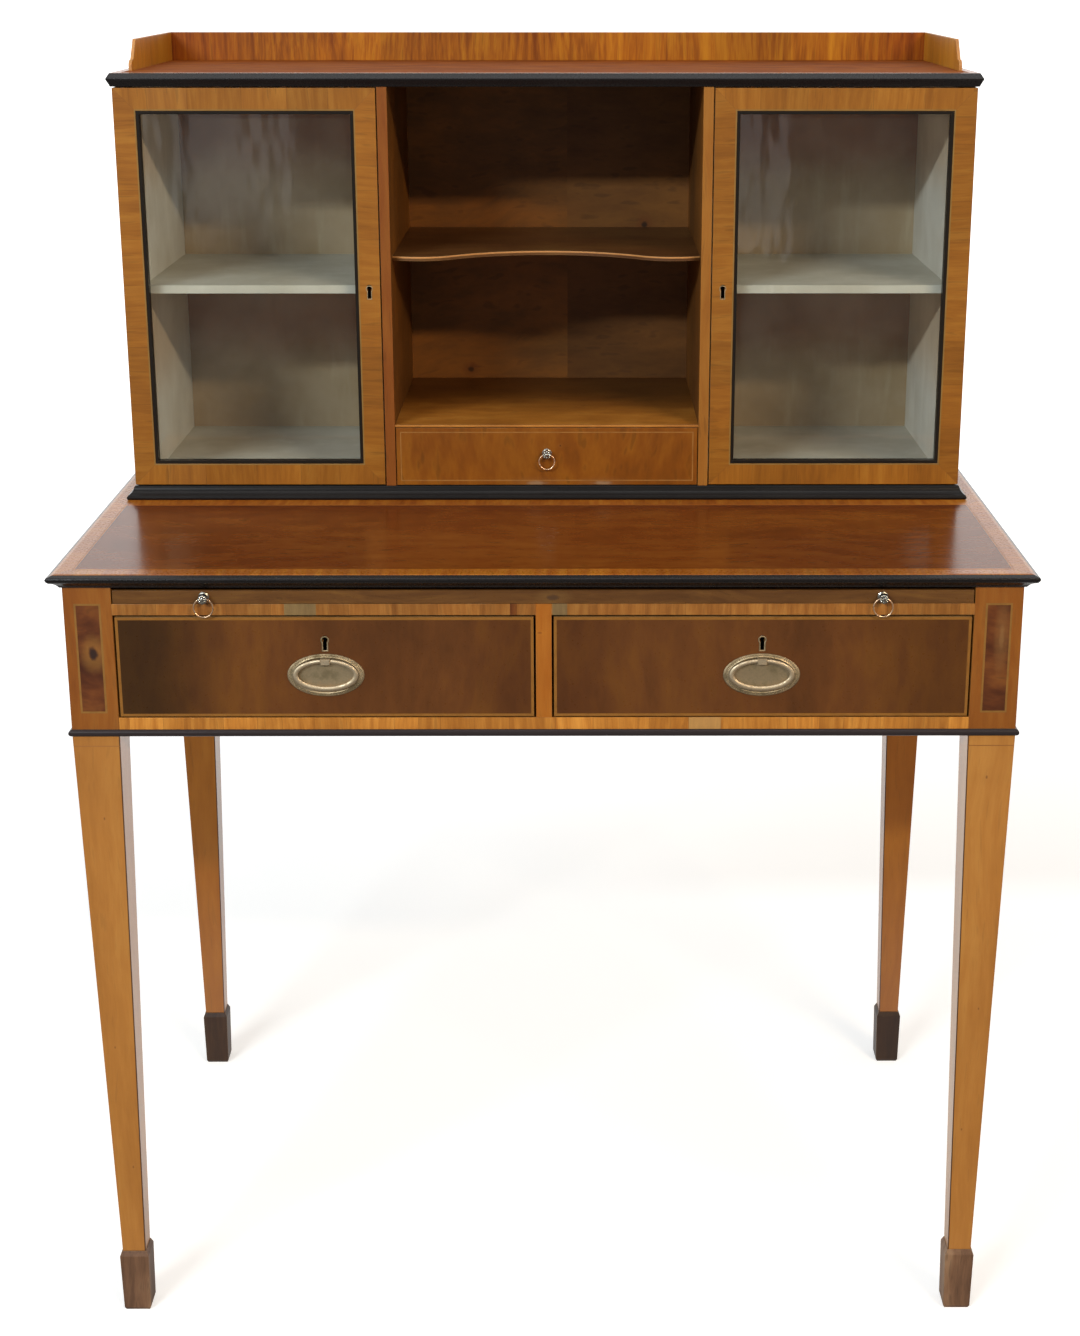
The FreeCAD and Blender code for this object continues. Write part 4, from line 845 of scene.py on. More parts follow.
@dataclass(frozen=True)
class OldGlass(Finish):
    """Thin drawn glass, faintly green and wavy."""

    name: str = "old_glass"

    def build(self) -> bpy.types.Material:
        """The finished material: clear with a wavy shine."""
        material, g, shader = new_material(self.name)
        where = g.place()
        wave = g.noise(g.vector("MULTIPLY", where, (1.0, 1.0, 0.35)), 26.0, 2.0, 0.5)
        bump = g.add("Bump", {"Strength": 0.42, "Distance": 0.0010, "Height": wave}).outputs[0]
        grime = GRIME.use(g, Vector=where, Amount=0.04)
        clear = g.add("BsdfTransparent", {"Color": tone("#FCFDFB")})
        shine = g.add("BsdfGlossy", {"Color": tone("#FFFFFF"), "Roughness": 0.03, "Normal": bump})
        fresnel = g.add("Fresnel", {"IOR": 1.5, "Normal": bump}).outputs[0]
        near = g.minus(1.0, g.add("NewGeometry").outputs["Backfacing"])
        mirror = g.clipped("MULTIPLY", g.times(fresnel, 2.0), near)
        pane = g.add("MixShader", {0: mirror, 1: clear.outputs[0], 2: shine.outputs[0]})
        film = g.add("BsdfDiffuse", {"Color": tone("#B8B2A2")})
        whole = g.add("MixShader", {0: grime["Mask"], 1: pane.outputs[0], 2: film.outputs[0]})
        end = next(n for n in g.tree.nodes if n.type == "OUTPUT_MATERIAL")
        g.tree.links.new(whole.outputs[0], end.inputs[0])
        g.tree.nodes.remove(shader)
        return material


# The woods
MAHOGANY = Wood("#54270F", "#783F17", "#94581F", "#34170A", cloud=0.55, ripple=0.35)
TOP_WOOD = Wood("#552608", "#71370E", "#864C19", "#3B1705", cloud=0.6, ripple=0.3)
TOP_BAND = Wood("#844213", "#A35E1C", "#BB7B2A", "#5B2A0C", cloud=0.5, fibre=0.6)
ORANGE_LINE = Wood("#B06223", "#C0772E", "#CC8D42", "#8A4C1C")
DRAWER_WOOD = Wood(
    "#42240C", "#603715", "#784A15", "#2A1A0D", cloud=0.35, fibre=0.3, ripple=0.1, pores=0.12
)
DOOR_WOOD = Wood("#744310", "#8F5918", "#A77229", "#522C08", cloud=0.35, fibre=0.5)
RAIL_WOOD = Wood("#764414", "#925C24", "#AB7535", "#552C09", cloud=0.45, fibre=0.7)
LOWER_WOOD = Wood("#945718", "#B6752A", "#D4933E", "#6A380D", cloud=0.45, fibre=0.65)
GREY_WOOD = Wood("#5E4B2E", "#765E3B", "#8C7349", "#443622", cloud=0.5, fibre=0.5)
GALLERY_WOOD = Wood("#713503", "#9C5808", "#B77614", "#542502", cloud=0.7, fibre=0.6)
GALLERY_SIDE = Wood("#925615", "#BB7919", "#D29B30", "#6D3C0C", cloud=0.5, fibre=0.5)
ROOF_WOOD = Wood("#6B3208", "#904A11", "#AA631E", "#4B2104", cloud=0.5, ripple=0.4)
SATINWOOD = Wood("#955D22", "#AA702F", "#BC853E", "#6C411A", cloud=0.3, fibre=0.35, pores=0.2)
REAR_WOOD = Wood("#804609", "#935612", "#A4661C", "#562F08", cloud=0.3, pores=0.2)
POST_WOOD = Wood("#733A08", "#884D10", "#975F1F", "#532606", cloud=0.4, fibre=0.4, pores=0.2)
DIVIDER_WOOD = Wood("#874309", "#9E5912", "#AF6D22", "#622D06", cloud=0.4, fibre=0.4, pores=0.2)
PANEL_WOOD = Wood("#401A06", "#633210", "#7C4717", "#270D03", cloud=0.85, ripple=0.6)
SLIDE_WOOD = Wood("#553518", "#68441F", "#7C5825", "#37200E", cloud=0.7, fibre=0.5)
SMALL_WOOD = Wood("#5A3004", "#7B4307", "#935A11", "#3A1C02", cloud=0.4, fibre=0.5, ripple=0.2)
PARTITION_LEFT = Wood("#633107", "#7C4210", "#8C541A", "#472004", cloud=0.4)
PARTITION_RIGHT = Wood("#774412", "#925B1D", "#A06D2B", "#582F0A", cloud=0.4)
BAY_WOOD = Wood("#4D3116", "#73471A", "#995C1D", "#331F0F", cloud=0.45, fibre=0.3, ripple=0.1)
BAY_RED = Wood("#4A2C0E", "#6C4219", "#875622", "#2E1C0D", cloud=0.45, fibre=0.3, ripple=0.1)
SHELF_WOOD = Wood("#3E220F", "#593518", "#714E26", "#251308", cloud=0.5)
FLOOR_WOOD = Wood("#884F1A", "#AC6D26", "#C98B3C", "#58310F", cloud=0.6, fibre=0.35)
OAK = Wood("#7E5C36", "#A07C4E", "#B7966A", "#5A3E22", cloud=0.35, fibre=0.55, pores=0.5)
PINE = Wood("#6A4A2A", "#8A6740", "#A07E54", "#4A3018", cloud=0.45, fibre=0.5, pores=0.1)
FOOT_WOOD = Wood("#543A2A", "#78573F", "#977659", "#302217", cloud=0.8, fibre=0.3)
EBONY = Wood("#111011", "#171516", "#1E1C1C", "#0A0909", cloud=0.3, fibre=0.5)
JOINT_LINE = Wood("#7E4C20", "#8A562A", "#966434", "#5A3214")
END_GRAIN = Wood("#AE7840", "#C08850", "#D09C66", "#7E5228")


@dataclass(frozen=True)
class Camera:
    """A pinhole camera given by its picture-plane values."""

    focal: float = 2214.105
    centre: tuple[float, float] = (583.808, 652.391)
    picture: tuple[float, float] = (1080.0, 1336.0)
    pitch: float = 0.30445
    yaw: float = 0.00418
    roll: float = -0.00039
    place: Point = (0.02796, -2.16632, 1.28075)
    sensor: float = 36.0
    reach: float = 60.0

    def build(self) -> None:
        """Create the camera and make it the scene's own."""
        data = bpy.data.cameras.new("camera")
        data.sensor_width = self.sensor
        longest = max(self.picture)
        data.lens = self.focal * self.sensor / longest
        data.shift_x = (self.picture[0] / 2 - self.centre[0]) / longest
        data.shift_y = (self.centre[1] - self.picture[1] / 2) / longest
        data.clip_end = self.reach
        cp, sp = math.cos(self.pitch), math.sin(self.pitch)
        cy, sy = math.cos(self.yaw), math.sin(self.yaw)
        cr, sr = math.cos(self.roll), math.sin(self.roll)
        ahead = Vector((sy * cp, cy * cp, -sp))
        right = Vector((cy, -sy, 0.0))
        down = ahead.cross(right)
        side = right * cr + down * sr
        fall = down * cr - right * sr
        turn = Matrix((side, -fall, -ahead)).transposed().to_4x4()
        camera = bpy.data.objects.new("camera", data)
        camera.matrix_world = Matrix.Translation(self.place) @ turn
        bpy.context.scene.collection.objects.link(camera)
        bpy.context.scene.camera = camera


@dataclass(frozen=True)
class Lamp:
    """A long soft lamp that hangs level with the front and looks at the piece."""

    name: str
    place: Point
    length: float
    width: float
    power: float
    colour: str = "#FFFFFF"
    target: Point = (0.0, 0.0, 0.9)

    def build(self) -> None:
        """Hang the lamp and turn it about its own length towards the target."""
        data = bpy.data.lights.new(self.name, "AREA")
        data.shape = "RECTANGLE"
        data.size = self.length
        data.size_y = self.width
        data.energy = self.power
        data.color = tone(self.colour)[:3]
        away = Vector(self.place) - Vector(self.target)
        lamp = bpy.data.objects.new(self.name, data)
        lamp.location = Vector(self.place)
        lamp.rotation_euler = (math.atan2(-away.y, away.z), 0.0, 0.0)
        bpy.context.scene.collection.objects.link(lamp)


@dataclass(frozen=True)
class Window:
    """A dim window in the room before the piece, as the sines of its bearings."""

    left: float
    right: float
    low: float
    high: float
    left_blur: float = 0.008
    right_blur: float = 0.012
    level_blur: float = 0.02

    def mask(self, g: Graph, ways: bpy.types.bpy_prop_collection) -> Socket:
        """One where a ray looks at the window, with soft edges.

        Args:
            g: The graph.
            ways: The parts of the ray's direction.

        Returns:
            The mask.
        """
        across = g.times(
            g.step(ways[0], self.left, self.left + self.left_blur),
            g.step(ways[0], self.right, self.right - self.right_blur),
        )
        upright = g.times(
            g.step(ways[2], self.low, self.low + self.level_blur),
            g.step(ways[2], self.high, self.high - self.level_blur),
        )
        return g.times(g.times(across, upright), g.math("LESS_THAN", ways[1], 0.0))


@dataclass(frozen=True)
class Studio:
    """Floor, backdrop, world and lamps.

    The room and its windows are seen in reflections only. The soft light comes from all round,
    from the sides and from the front. The glow is the paper's own light.
    """

    half_width: float = 9.0
    front: float = -8.0
    bend: float = 4.0
    radius: float = 2.5
    height: float = 7.0
    steps: int = 12
    room: float = 0.16
    window: float = 0.35
    from_all: float = 0.19
    from_sides: float = 0.80
    from_front: float = 0.36
    glow: float = 0.5
    glow_behind: float = 0.50
    bounce_cut: float = 0.6
    falling: float = 4.0
    dim_room: tuple[float, float] = (-0.75, 0.05)
    dim_floor: tuple[float, float] = (-0.5, 0.1)
    bright_floor: tuple[float, float] = (0.4, 3.0)

    WINDOWS = (Window(-0.176, -0.128, -0.12, -0.025), Window(0.060, 0.094, -0.15, -0.02))
    LAMPS = (
        Lamp("left_lamp", (-3.15, -4.99, 3.33), 2.6, 0.22, 262.0, "#F0FAFF"),
        Lamp("right_lamp", (3.4, -4.99, 3.72), 2.6, 0.22, 212.0, "#FFE6C4"),
        Lamp("high_lamp", (0.0, -1.25, 3.4), 3.0, 0.5, 14.0),
    )

    def floor(self) -> None:
        """A pale sweep that curves up behind the piece."""
        outline = [(self.front, 0.0), (self.bend, 0.0)]
        for step in range(1, self.steps + 1):
            a = math.pi / 2 * step / self.steps
            rise = self.radius * (1 - math.cos(a))
            outline.append((self.bend + self.radius * math.sin(a), rise))
        outline.append((self.bend + self.radius, self.height))
        shape = Shape()
        edges = (self.half_width, -self.half_width)
        shape.skin([shape.ring([(x, y, z) for y, z in outline]) for x in edges], closed=False)
        data = bpy.data.meshes.new("floor")
        shape.mesh.to_mesh(data)
        shape.mesh.free()
        for face in data.polygons:
            face.use_smooth = True
        floor = bpy.data.objects.new("floor", data)
        bpy.context.scene.collection.objects.link(floor)
        floor.data.materials.append(self.paper())

    def paper(self) -> bpy.types.Material:
        """White paper that keeps the shadow; its front half is dim in reflections."""
        material, g, shader = new_material("paper")
        path = g.add("LightPath").outputs
        depth = g.parts(g.place()).outputs[1]
        dim = g.times(path["Is Glossy Ray"], g.fall(depth, *self.dim_floor))
        seen = g.math("MAXIMUM", path["Is Camera Ray"], path["Is Glossy Ray"])
        seen = g.math("MAXIMUM", seen, path["Is Transmission Ray"])
        seen = g.times(seen, g.minus(1.0, dim))
        grain = g.noise(g.place(), 3.0, 2.0)
        colour = g.mix(grain, tone("#E9E8E6"), tone("#EFEEEC"))
        colour = g.mix(dim, colour, tone("#6A6662"))
        bounced = g.times(path["Is Diffuse Ray"], self.bounce_cut)
        colour = g.mix(bounced, colour, tone("#808080"))
        behind = g.step(depth, *self.bright_floor)
        level = g.math("MULTIPLY_ADD", behind, self.glow_behind, self.glow)
        join(g, shader, Base_Color=colour, Roughness=0.9, Emission_Color=tone("#FFFFFF"))
        join(g, shader, Emission_Strength=g.times(seen, level))
        return material

    def world(self) -> None:
        """A pale surround: white behind the piece, dimmer in the room before it."""
        world = bpy.data.worlds.new("surround")
        world.use_nodes = True
        g = Graph(world.node_tree)
        path = g.add("LightPath").outputs
        ways = g.parts(g.add("TexCoord").outputs["Generated"]).outputs
        shine = g.between(g.step(ways[1], *self.dim_room), self.room, 1.0)
        for window in self.WINDOWS:
            shine = g.math("MULTIPLY_ADD", window.mask(g, ways), self.window, shine)
        across = g.math("POWER", g.math("ABSOLUTE", ways[0]), self.falling)
        soft = g.math("MULTIPLY_ADD", across, self.from_sides, self.from_all)
        before = g.math("POWER", g.clipped("MULTIPLY", ways[1], -1.0), self.falling)
        soft = g.math("MULTIPLY_ADD", before, self.from_front, soft)
        level = g.between(path["Is Glossy Ray"], soft, shine)
        seen = g.math("MAXIMUM", path["Is Camera Ray"], path["Is Transmission Ray"])
        ground = world.node_tree.nodes["Background"]
        g.plug(ground, {"Color": tone("#FFFFFF"), "Strength": g.between(seen, level, 1.0)})
        bpy.context.scene.world = world

    def build(self) -> None:
        """Set the stage."""
        self.floor()
        self.world()
        for lamp in self.LAMPS:
            lamp.build()
        bpy.context.scene.view_settings.view_transform = "Standard"


SIDES = (("left", -1), ("right", 1))
FRONT = -0.273
FRONT_SKIN = (-0.2745, -0.2725)


def on_front(left: float, right: float, bottom: float, top: float) -> Box:
    """A thin block at the front of the frieze.

    Args:
        left: Its left side.
        right: Its right side.
        bottom: Its lower side.
        top: Its upper side.

    Returns:
        Its lowest and highest corner.
    """
    return (left, FRONT_SKIN[0], bottom), (right, FRONT_SKIN[1], top)


def mirrored(block: Box, side: int) -> Box:
    """A block given for the right half, on the side asked for.

    Args:
        block: Its lowest and highest corner.
        side: Minus one for the left, one for the right.

    Returns:
        The corners on that side.
    """
    if side > 0:
        return block
    low, high = block
    return (-high[0], low[1], low[2]), (-low[0], high[1], high[2])


def through(block: Box) -> Box:
    """A block carried right through from front to back."""
    low, high = block
    return (low[0], -WIDE, low[2]), (high[0], WIDE, high[2])


@dataclass
class TableTop:
    """The writing surface, its crossbands and its black edge."""

    level: float = 0.760
    half: float = 0.4372
    front: float = -0.2795
    stop: float = 0.002
    back: float = 0.285
    band: float = 0.020
    orange: float = 0.0022
    depth: float = 0.0012

    def skin(self, left: float, right: float, front: float, back: float) -> Box:
        """A thin block at the level of the surface."""
        return (left, front, self.level - self.depth), (right, back, self.level + self.depth)

    def layers(self) -> tuple[Layer, ...]:
        """The bands that lie on both the board and its moulding."""
        whole = self.skin(-self.half, self.half, self.front, self.stop)
        cells = Cells(0.055, 2.0, odd=0.99, low=0.88, high=1.12, joint=0.1)
        end = self.skin(self.half - self.band, self.half, self.stop, self.back)
        inner = self.stop - self.band
        gap = self.skin(-self.half, self.half, inner - self.orange, inner)
        ends = Laid(TOP_BAND, Grain.ALONG_X, 5.0)
        return (
            Band(TOP_BAND, (0, 1), *whole, self.band, cells, line="#4A2410"),
            *(Region(ends, *mirrored(end, side), cells, 1) for _, side in SIDES),
            Region(Laid(ORANGE_LINE, Grain.ALONG_X), *gap),
        )

    def build(self) -> None:
        """Dress the board and its moulding."""
        field = Laid(TOP_WOOD, Grain.BOARD_X, 1.0, 0.05)
        Veneered("table_top", field, self.layers(), GLOSSY).on("table_top")
        black = Laid(EBONY, Grain.ALONG_X, 4.0)
        Veneered("table_edge", black, self.layers(), BLACK_POLISH).on("table_top_moulding")


@dataclass
class Legs:
    """The square posts with their inlaid panels and the dark feet."""

    inner: float = 0.3845
    outer: float = 0.4275
    front_centre: float = -0.2515
    rear_centre: float = 0.2635
    veneer_bottom: float = 0.6132
    veneer_top: float = 0.748
    panel_inner: float = 0.3943
    panel_outer: float = 0.4183
    panel_bottom: float = 0.6285
    panel_top: float = 0.7315
    string: float = 0.0018
    joint_bottom: float = 0.5965
    joint_top: float = 0.5972
    frieze_foot: float = 0.6065
    foot_top: float = 0.066
    ankle: float = 0.0113
    seam_width: float = 0.0014
    pin_shift: float = 0.02
    dark_feet: tuple[float, float] = (-0.1, 0.2)

    PANEL_KNOTS = {
        "left": Knot((-0.4035, FRONT, 0.6845), 0.0050, 0.0075, "#2A1C18", "#9A6A2C", 0.9),
        "right": Knot((0.4100, FRONT, 0.700), 0.0030, 0.0160, "#8A6438", "#8A6234", 0.6),
    }
    PIN_KNOTS = ((0.4040, 0.5458), (0.4100, 0.3100), (0.4010, 0.1800))

    def seam(self, side: int, centre: float) -> Seam:
        """The dark inner arris at the front of a leg.

        Args:
            side: Minus one on the left, one on the right.
            centre: The depth of the leg's middle.

        Returns:
            The seam.
        """
        middle = (self.inner + self.outer) / 2
        half = (self.outer - self.inner) / 2
        top = ((middle - half) * side, centre - half, self.frieze_foot)
        foot = ((middle - self.ankle) * side, centre - self.ankle, self.foot_top)
        return Seam(top, foot, self.seam_width, "#33180C")

    def front_leg(self, word: str, side: int) -> None:
        """One front post.

        Args:
            word: Left or right.
            side: Minus one on the left, one on the right.
        """
        veneer = on_front(self.inner, self.outer, self.veneer_bottom, self.veneer_top)
        joint = on_front(self.inner, self.outer, self.joint_bottom, self.joint_top)
        panel = on_front(self.panel_inner, self.panel_outer, self.panel_bottom, self.panel_top)
        panel = mirrored(panel, side)
        places = [(x * side, FRONT, z + self.pin_shift * side) for x, z in self.PIN_KNOTS]
        pins = [Knot(place, 0.0012, 0.0020, "#5A3216", "#AE7538", 0.6) for place in places]
        layers = (
            Region(Laid(POST_WOOD, Grain.ALONG_Z, 8.0 + side), *mirrored(veneer, side)),
            Region(Laid(PANEL_WOOD, Grain.BOARD_X, 2.0 + side, 0.06), *panel),
            self.PANEL_KNOTS[word],
            Stringing(*through(panel), self.string / 2, self.string, "#8A6028", "#6A461E"),
            *pins,
            self.seam(side, self.front_centre),
            Region(Laid(JOINT_LINE, Grain.ALONG_X), *mirrored(joint, side)),
        )
        ground = Laid(SATINWOOD, Grain.ALONG_Z, 6.0 * side)
        Veneered("post_front_" + word, ground, layers, LEG_POLISH).on("leg_front_" + word)

    def rear_leg(self, word: str, side: int) -> None:
        """One rear post, plain but for its arris.

        Args:
            word: Left or right.
            side: Minus one on the left, one on the right.
        """
        ground = Laid(REAR_WOOD, Grain.ALONG_Z, 9.0 * side)
        layers = (self.seam(side, self.rear_centre),)
        Veneered("post_rear_" + word, ground, layers, LEG_POLISH).on("leg_rear_" + word)

    def build(self) -> None:
        """Dress the posts and the feet."""
        for word, side in SIDES:
            self.front_leg(word, side)
            self.rear_leg(word, side)
        far = Fade("#80766C", 1, *self.dark_feet)
        Veneered("feet", Laid(FOOT_WOOD, Grain.ALONG_Z), (far,), WORN).on("spade_feet")


@dataclass
class Frieze:
    """Rails, drawer fronts and writing slide under the top."""

    drawer_near: float = 0.0090
    drawer_far: float = 0.3826
    drawer_bottom: float = 0.6254
    drawer_top: float = 0.7188
    string: float = 0.0026
    outer_stain: tuple[float, float] = (0.26, 0.36)
    inner_stain: tuple[float, float] = (0.09, 0.02)
    lipping: float = -0.262

    PATCHES = (
        (GREY_WOOD, -0.2311, -0.2028),
        (GREY_WOOD, 0.0079, 0.0211),
        (PANEL_WOOD, -0.0299, -0.0237),
        (DIVIDER_WOOD, -0.0071, 0.0071),
    )
    PATCH_HEIGHTS = (0.70, 0.74)
    STAINS = {"left": "#969CA0", "right": "#D4D0D0"}

    def rails(self) -> None:
        """The pieced bands above and below the drawers, and the plain rails."""
        ground = Laid(RAIL_WOOD, Grain.ALONG_Z, 3.0)
        strip = on_front(-WIDE, WIDE, 0.0, 1.0)
        cells = Cells(0.036, 11.0, odd=0.965, other="#8E7650", low=0.84, high=1.16)
        patches = [
            Region(Laid(wood, Grain.ALONG_Z), *on_front(left, right, *self.PATCH_HEIGHTS))
            for wood, left, right in self.PATCHES
        ]
        layers = (Region(ground, *strip, cells), *patches)
        Veneered("upper_rail", ground, layers).on("slide_rail")
        cells = Cells(0.030, 23.0, odd=0.93, other="#A88450", low=0.88, high=1.14)
        lower = Region(Laid(LOWER_WOOD, Grain.ALONG_Z, 7.0), *strip, cells)
        Veneered("lower_rail", ground, (lower,)).on("bottom_rail")
        knot = Knot((-0.0036, FRONT, 0.7041), 0.0028, 0.0012, "#6A2E0C", "#B0701F", 0.7)
        Veneered("upright", Laid(DIVIDER_WOOD, Grain.ALONG_Z, 1.0), (knot,)).on("drawer_divider")
        sides = Veneered("side_rails", Laid(MAHOGANY, Grain.BOARD_X, 3.0))
        sides.on("side_rail_left", "side_rail_right")
        Veneered("back_rail", Laid(OAK, Grain.BOARD_X, 5.0), polish=DRY).on("back_rail")
        Ebonised("frieze_bead", "#322A2C", "#4A3830").on("frieze_bead")

    def drawer_front(self, word: str, side: int) -> None:
        """One drawer front.

        Args:
            word: Left or right.
            side: Minus one on the left, one on the right.
        """
        face = on_front(self.drawer_near, self.drawer_far, self.drawer_bottom, self.drawer_top)
        border = through(mirrored(face, side))
        skin = on_front(-WIDE, WIDE, 0.0, 2.0)
        veneer = Laid(DRAWER_WOOD, Grain.BOARD_Z, 4.0 + side * 2.0, 0.03)
        outer, inner = ([x * side for x in stain] for stain in (self.outer_stain, self.inner_stain))
        layers = (
            Region(veneer, *skin),
            Fade(self.STAINS[word], 0, *outer, *skin),
            Fade("#DCD6D4", 0, *inner, *skin),
            Stringing(*border, self.string / 2, self.string, "#8A5C24", "#6C4418"),
            Region(Laid(OAK, Grain.BOARD_X, 2.0), (-WIDE, FRONT_SKIN[1], -WIDE), EVERYWHERE[1]),
        )
        finish = Veneered("drawer_front_" + word, veneer, layers, DRAWER_POLISH)
        finish.on("drawer_%s_front" % word)

    def slide(self) -> None:
        """The writing slide: a veneered edge and a plain board behind it."""
        low, high = (-WIDE, FRONT_SKIN[0], 0.0), (WIDE, self.lipping, 2.0)
        edge = Region(Laid(SLIDE_WOOD, Grain.ALONG_X, 2.0, 0.04), low, high)
        dark = Knot((0.0088, FRONT, 0.7371), 0.0070, 0.0030, "#4A3626", "#7A5A30", 0.7)
        board = Laid(OAK, Grain.BOARD_X, 7.0)
        Veneered("slide", board, (edge, dark), DRAWER_POLISH).on("writing_slide")

    def build(self) -> None:
        """Dress the frieze, its drawers and what is inside it."""
        self.rails()
        for word, side in SIDES:
            self.drawer_front(word, side)
        self.slide()
        lining = Veneered("lining", Laid(OAK, Grain.ALONG_Y), polish=DRY)
        lining.on("drawer_left_box", "drawer_right_box", "small_drawer_box", "drawer_runners")


@dataclass
class Cabinet:
    """The case on the back of the table: two painted cupboards beside an open bay."""

    room_inner: float = 0.1613
    room_outer: float = 0.3970
    front: float = 0.0100
    room_front: float = 0.0279
    shade_front: float = 0.0300
    room_back: float = 0.2720
    floor: float = 0.7730
    ceiling: float = 1.1625
    roof: float = 1.1750
    roof_half: float = 0.4148
    roof_front: float = 0.0092
    skin: float = 0.0002
    edge_skin: float = 0.0004
    lap: float = 0.001
    under_front: float = 0.020
    shade_below: float = 0.02
    top: float = 1.2
    red_board: tuple[float, float] = (0.020, 0.1515)
    red_bottom: float = 0.835
    red_back: float = 0.2725
    pine_front: float = 0.2805
    drawer_half: float = 0.1506
    drawer_bottom: float = 0.7738
    drawer_top: float = 0.8319
    line_inset: float = 0.0045
    line: float = 0.0010
    floor_shade: tuple[float, float] = (0.05, 0.20)
    gallery_ends: tuple[float, float] = (0.30, 0.40)

    # where the painted shade at the top of each row starts, where it is full, and the row's top
    SHADED_ROWS = ((0.835, 0.905, 0.967), (1.035, 1.100, 1.2))
    BAY_KNOTS = (
        Knot((0.104, 0.2720, 1.0019), 0.0040, 0.0050, "#140A06", "#6A3414", 0.8),
        Knot((-0.0865, 0.2720, 0.844), 0.0045, 0.0040, "#180C06", "#5A2C12", 0.8),
    )
    DRAWER_KNOTS = (
        Knot((-0.010, 0.0100, 0.7755), 0.012, 0.0030, "#9A8468", "#8A5A2C", 0.55),
        Knot((0.056, 0.0100, 0.7755), 0.012, 0.0030, "#9A8468", "#8A5A2C", 0.55),
        Knot((0.0135, 0.0100, 0.8138), 0.0012, 0.0012, "#3A1C0A", "#84501A", 0.8),
    )
    SHELF_NOSE = ((-WIDE, -WIDE, 0.9985), (WIDE, WIDE, 1.01))

    def room(self, side: int, front: float, bottom: float, top: float) -> Box:
        """Part of one cupboard's inside, with a skin of its walls.

        Args:
            side: Minus one on the left, one on the right.
            front: Where it starts.
            bottom: Its lower side.
            top: Its upper side.

        Returns:
            Its lowest and highest corner.
        """
        low = (self.room_inner - self.skin, front, bottom)
        high = (self.room_outer + self.skin, self.room_back + self.skin, top)
        return mirrored((low, high), side)

    def rooms(self) -> tuple[Box, ...]:
        """The insides of the two cupboards."""
        bottom, top = self.floor - self.lap, self.ceiling + self.skin
        return tuple(self.room(side, self.room_front, bottom, top) for _, side in SIDES)

    def top_shade(self, colour: str) -> tuple[Layer, ...]:
        """Painted shade: each painted room and row made darker and warmer towards its top, where the
        lamps' light falls short.

        Args:
            colour: What the painted shade makes of white.

        Returns:
            One layer for each room and row.
        """
        layers = []
        for _, side in SIDES:
            for start, end, top in self.SHADED_ROWS:
                room = self.room(side, self.shade_front, start - self.shade_below, top)
                layers.append(Fade(colour, 2, start, end, *room))
        return tuple(layers)

    def walls(self) -> None:
        """Sides and partitions."""
        # the rooms' paint, darkened towards the top of each row by painted shade
        inside_walls = (Distemper(self.rooms()), *self.top_shade("#F0DCC8"))
        sides = Veneered("cabinet_sides", Laid(MAHOGANY, Grain.BOARD_Z, 2.0, 0.04), inside_walls)
        sides.on("cabinet_side_left", "cabinet_side_right")
        for (word, side), wood in zip(SIDES, (PARTITION_LEFT, PARTITION_RIGHT)):
            low, high = (-WIDE, 0.0, 0.0), (WIDE, self.front + self.edge_skin, 2.0)
            edge = Region(Laid(wood, Grain.ALONG_Z, 3.0 * side), low, high)
            ground = Laid(BAY_WOOD, Grain.BOARD_Z, 4.0 * side)
            wall = Veneered("partition_" + word, ground, (*inside_walls, edge), SOFT)
            wall.on("partition_" + word)

    def back(self) -> None:
        """The back: two boards in the bay, paint in the cupboards browner than on the walls (partly
        the paint's tone, partly painted warm light bounced from the wood) and darker at the top by
        painted shade, bare wood behind.
        """
        red_low = (self.red_board[0], 0.0, self.red_bottom)
        red_high = (self.red_board[1], self.red_back, self.top)
        bare_low, bare_high = (-WIDE, self.pine_front, 0.0), (WIDE, WIDE, 2.0)
        layers = (
            Region(Laid(BAY_RED, Grain.BOARD_X, 7.0), red_low, red_high),
            *self.BAY_KNOTS,
            # browner paint than on the walls: partly the paint's own tone, partly painted warm light
            # bounced from the wood
            Distemper(self.rooms(), paint="#B09B7E", shade="#997F58", pale="#BBAB8F"),
            # painted shade at the top of each row, deep and warm on the back
            *self.top_shade("#CE9060"),
            Region(Laid(PINE, Grain.BOARD_Z, 6.0), bare_low, bare_high),
        )
        ground = Laid(BAY_WOOD, Grain.BOARD_X, 3.0, 0.06)
        Veneered("cabinet_back", ground, layers, SOFT).on("cabinet_back")

    def boards(self) -> None:
        """Top board, floors, shelves and the board over the small drawer."""
        under_low = (-self.room_inner, self.under_front, self.ceiling - self.lap)
        under_high = (self.room_inner, self.room_back, self.ceiling + self.skin)
        under = Region(Laid(BAY_WOOD, Grain.BOARD_X), under_low, under_high)
        roof = Laid(ROOF_WOOD, Grain.BOARD_X, 8.0, 0.05)
        layers = (under, Distemper(self.rooms()))
        Veneered("cabinet_top", roof, layers, ROOF_POLISH).on("cabinet_top")
        paint = Distemper(self.rooms(), paint="#CBC9C0", shade="#B8B3A5", pale="#D4D2CA")
        shelves = Veneered("cupboard_boards", Laid(PINE, Grain.BOARD_X, 2.0), (paint,), SOFT)
        shelves.on("cupboard_boards")
        plain = Veneered("cabinet_bottom", Laid(MAHOGANY, Grain.BOARD_X, 5.0), polish=SOFT)
        plain.on("cabinet_bottom")
        nose = Facing(Laid(END_GRAIN, Grain.ALONG_X), (0.0, -1.0, 0.0), *self.SHELF_NOSE)
        shelf = Laid(SHELF_WOOD, Grain.BOARD_X, 5.0)
        Veneered("bay_shelf", shelf, (nose,), SHELF_POLISH).on("shelf_centre")
        # painted shade: the bay floor darker towards the back, where the shelf above shades it
        far = Fade("#8A8070", 1, *self.floor_shade)
        floor = Laid(FLOOR_WOOD, Grain.BOARD_X, 9.0)
        Veneered("bay_floor", floor, (far,), SHELF_POLISH).on("drawer_board")

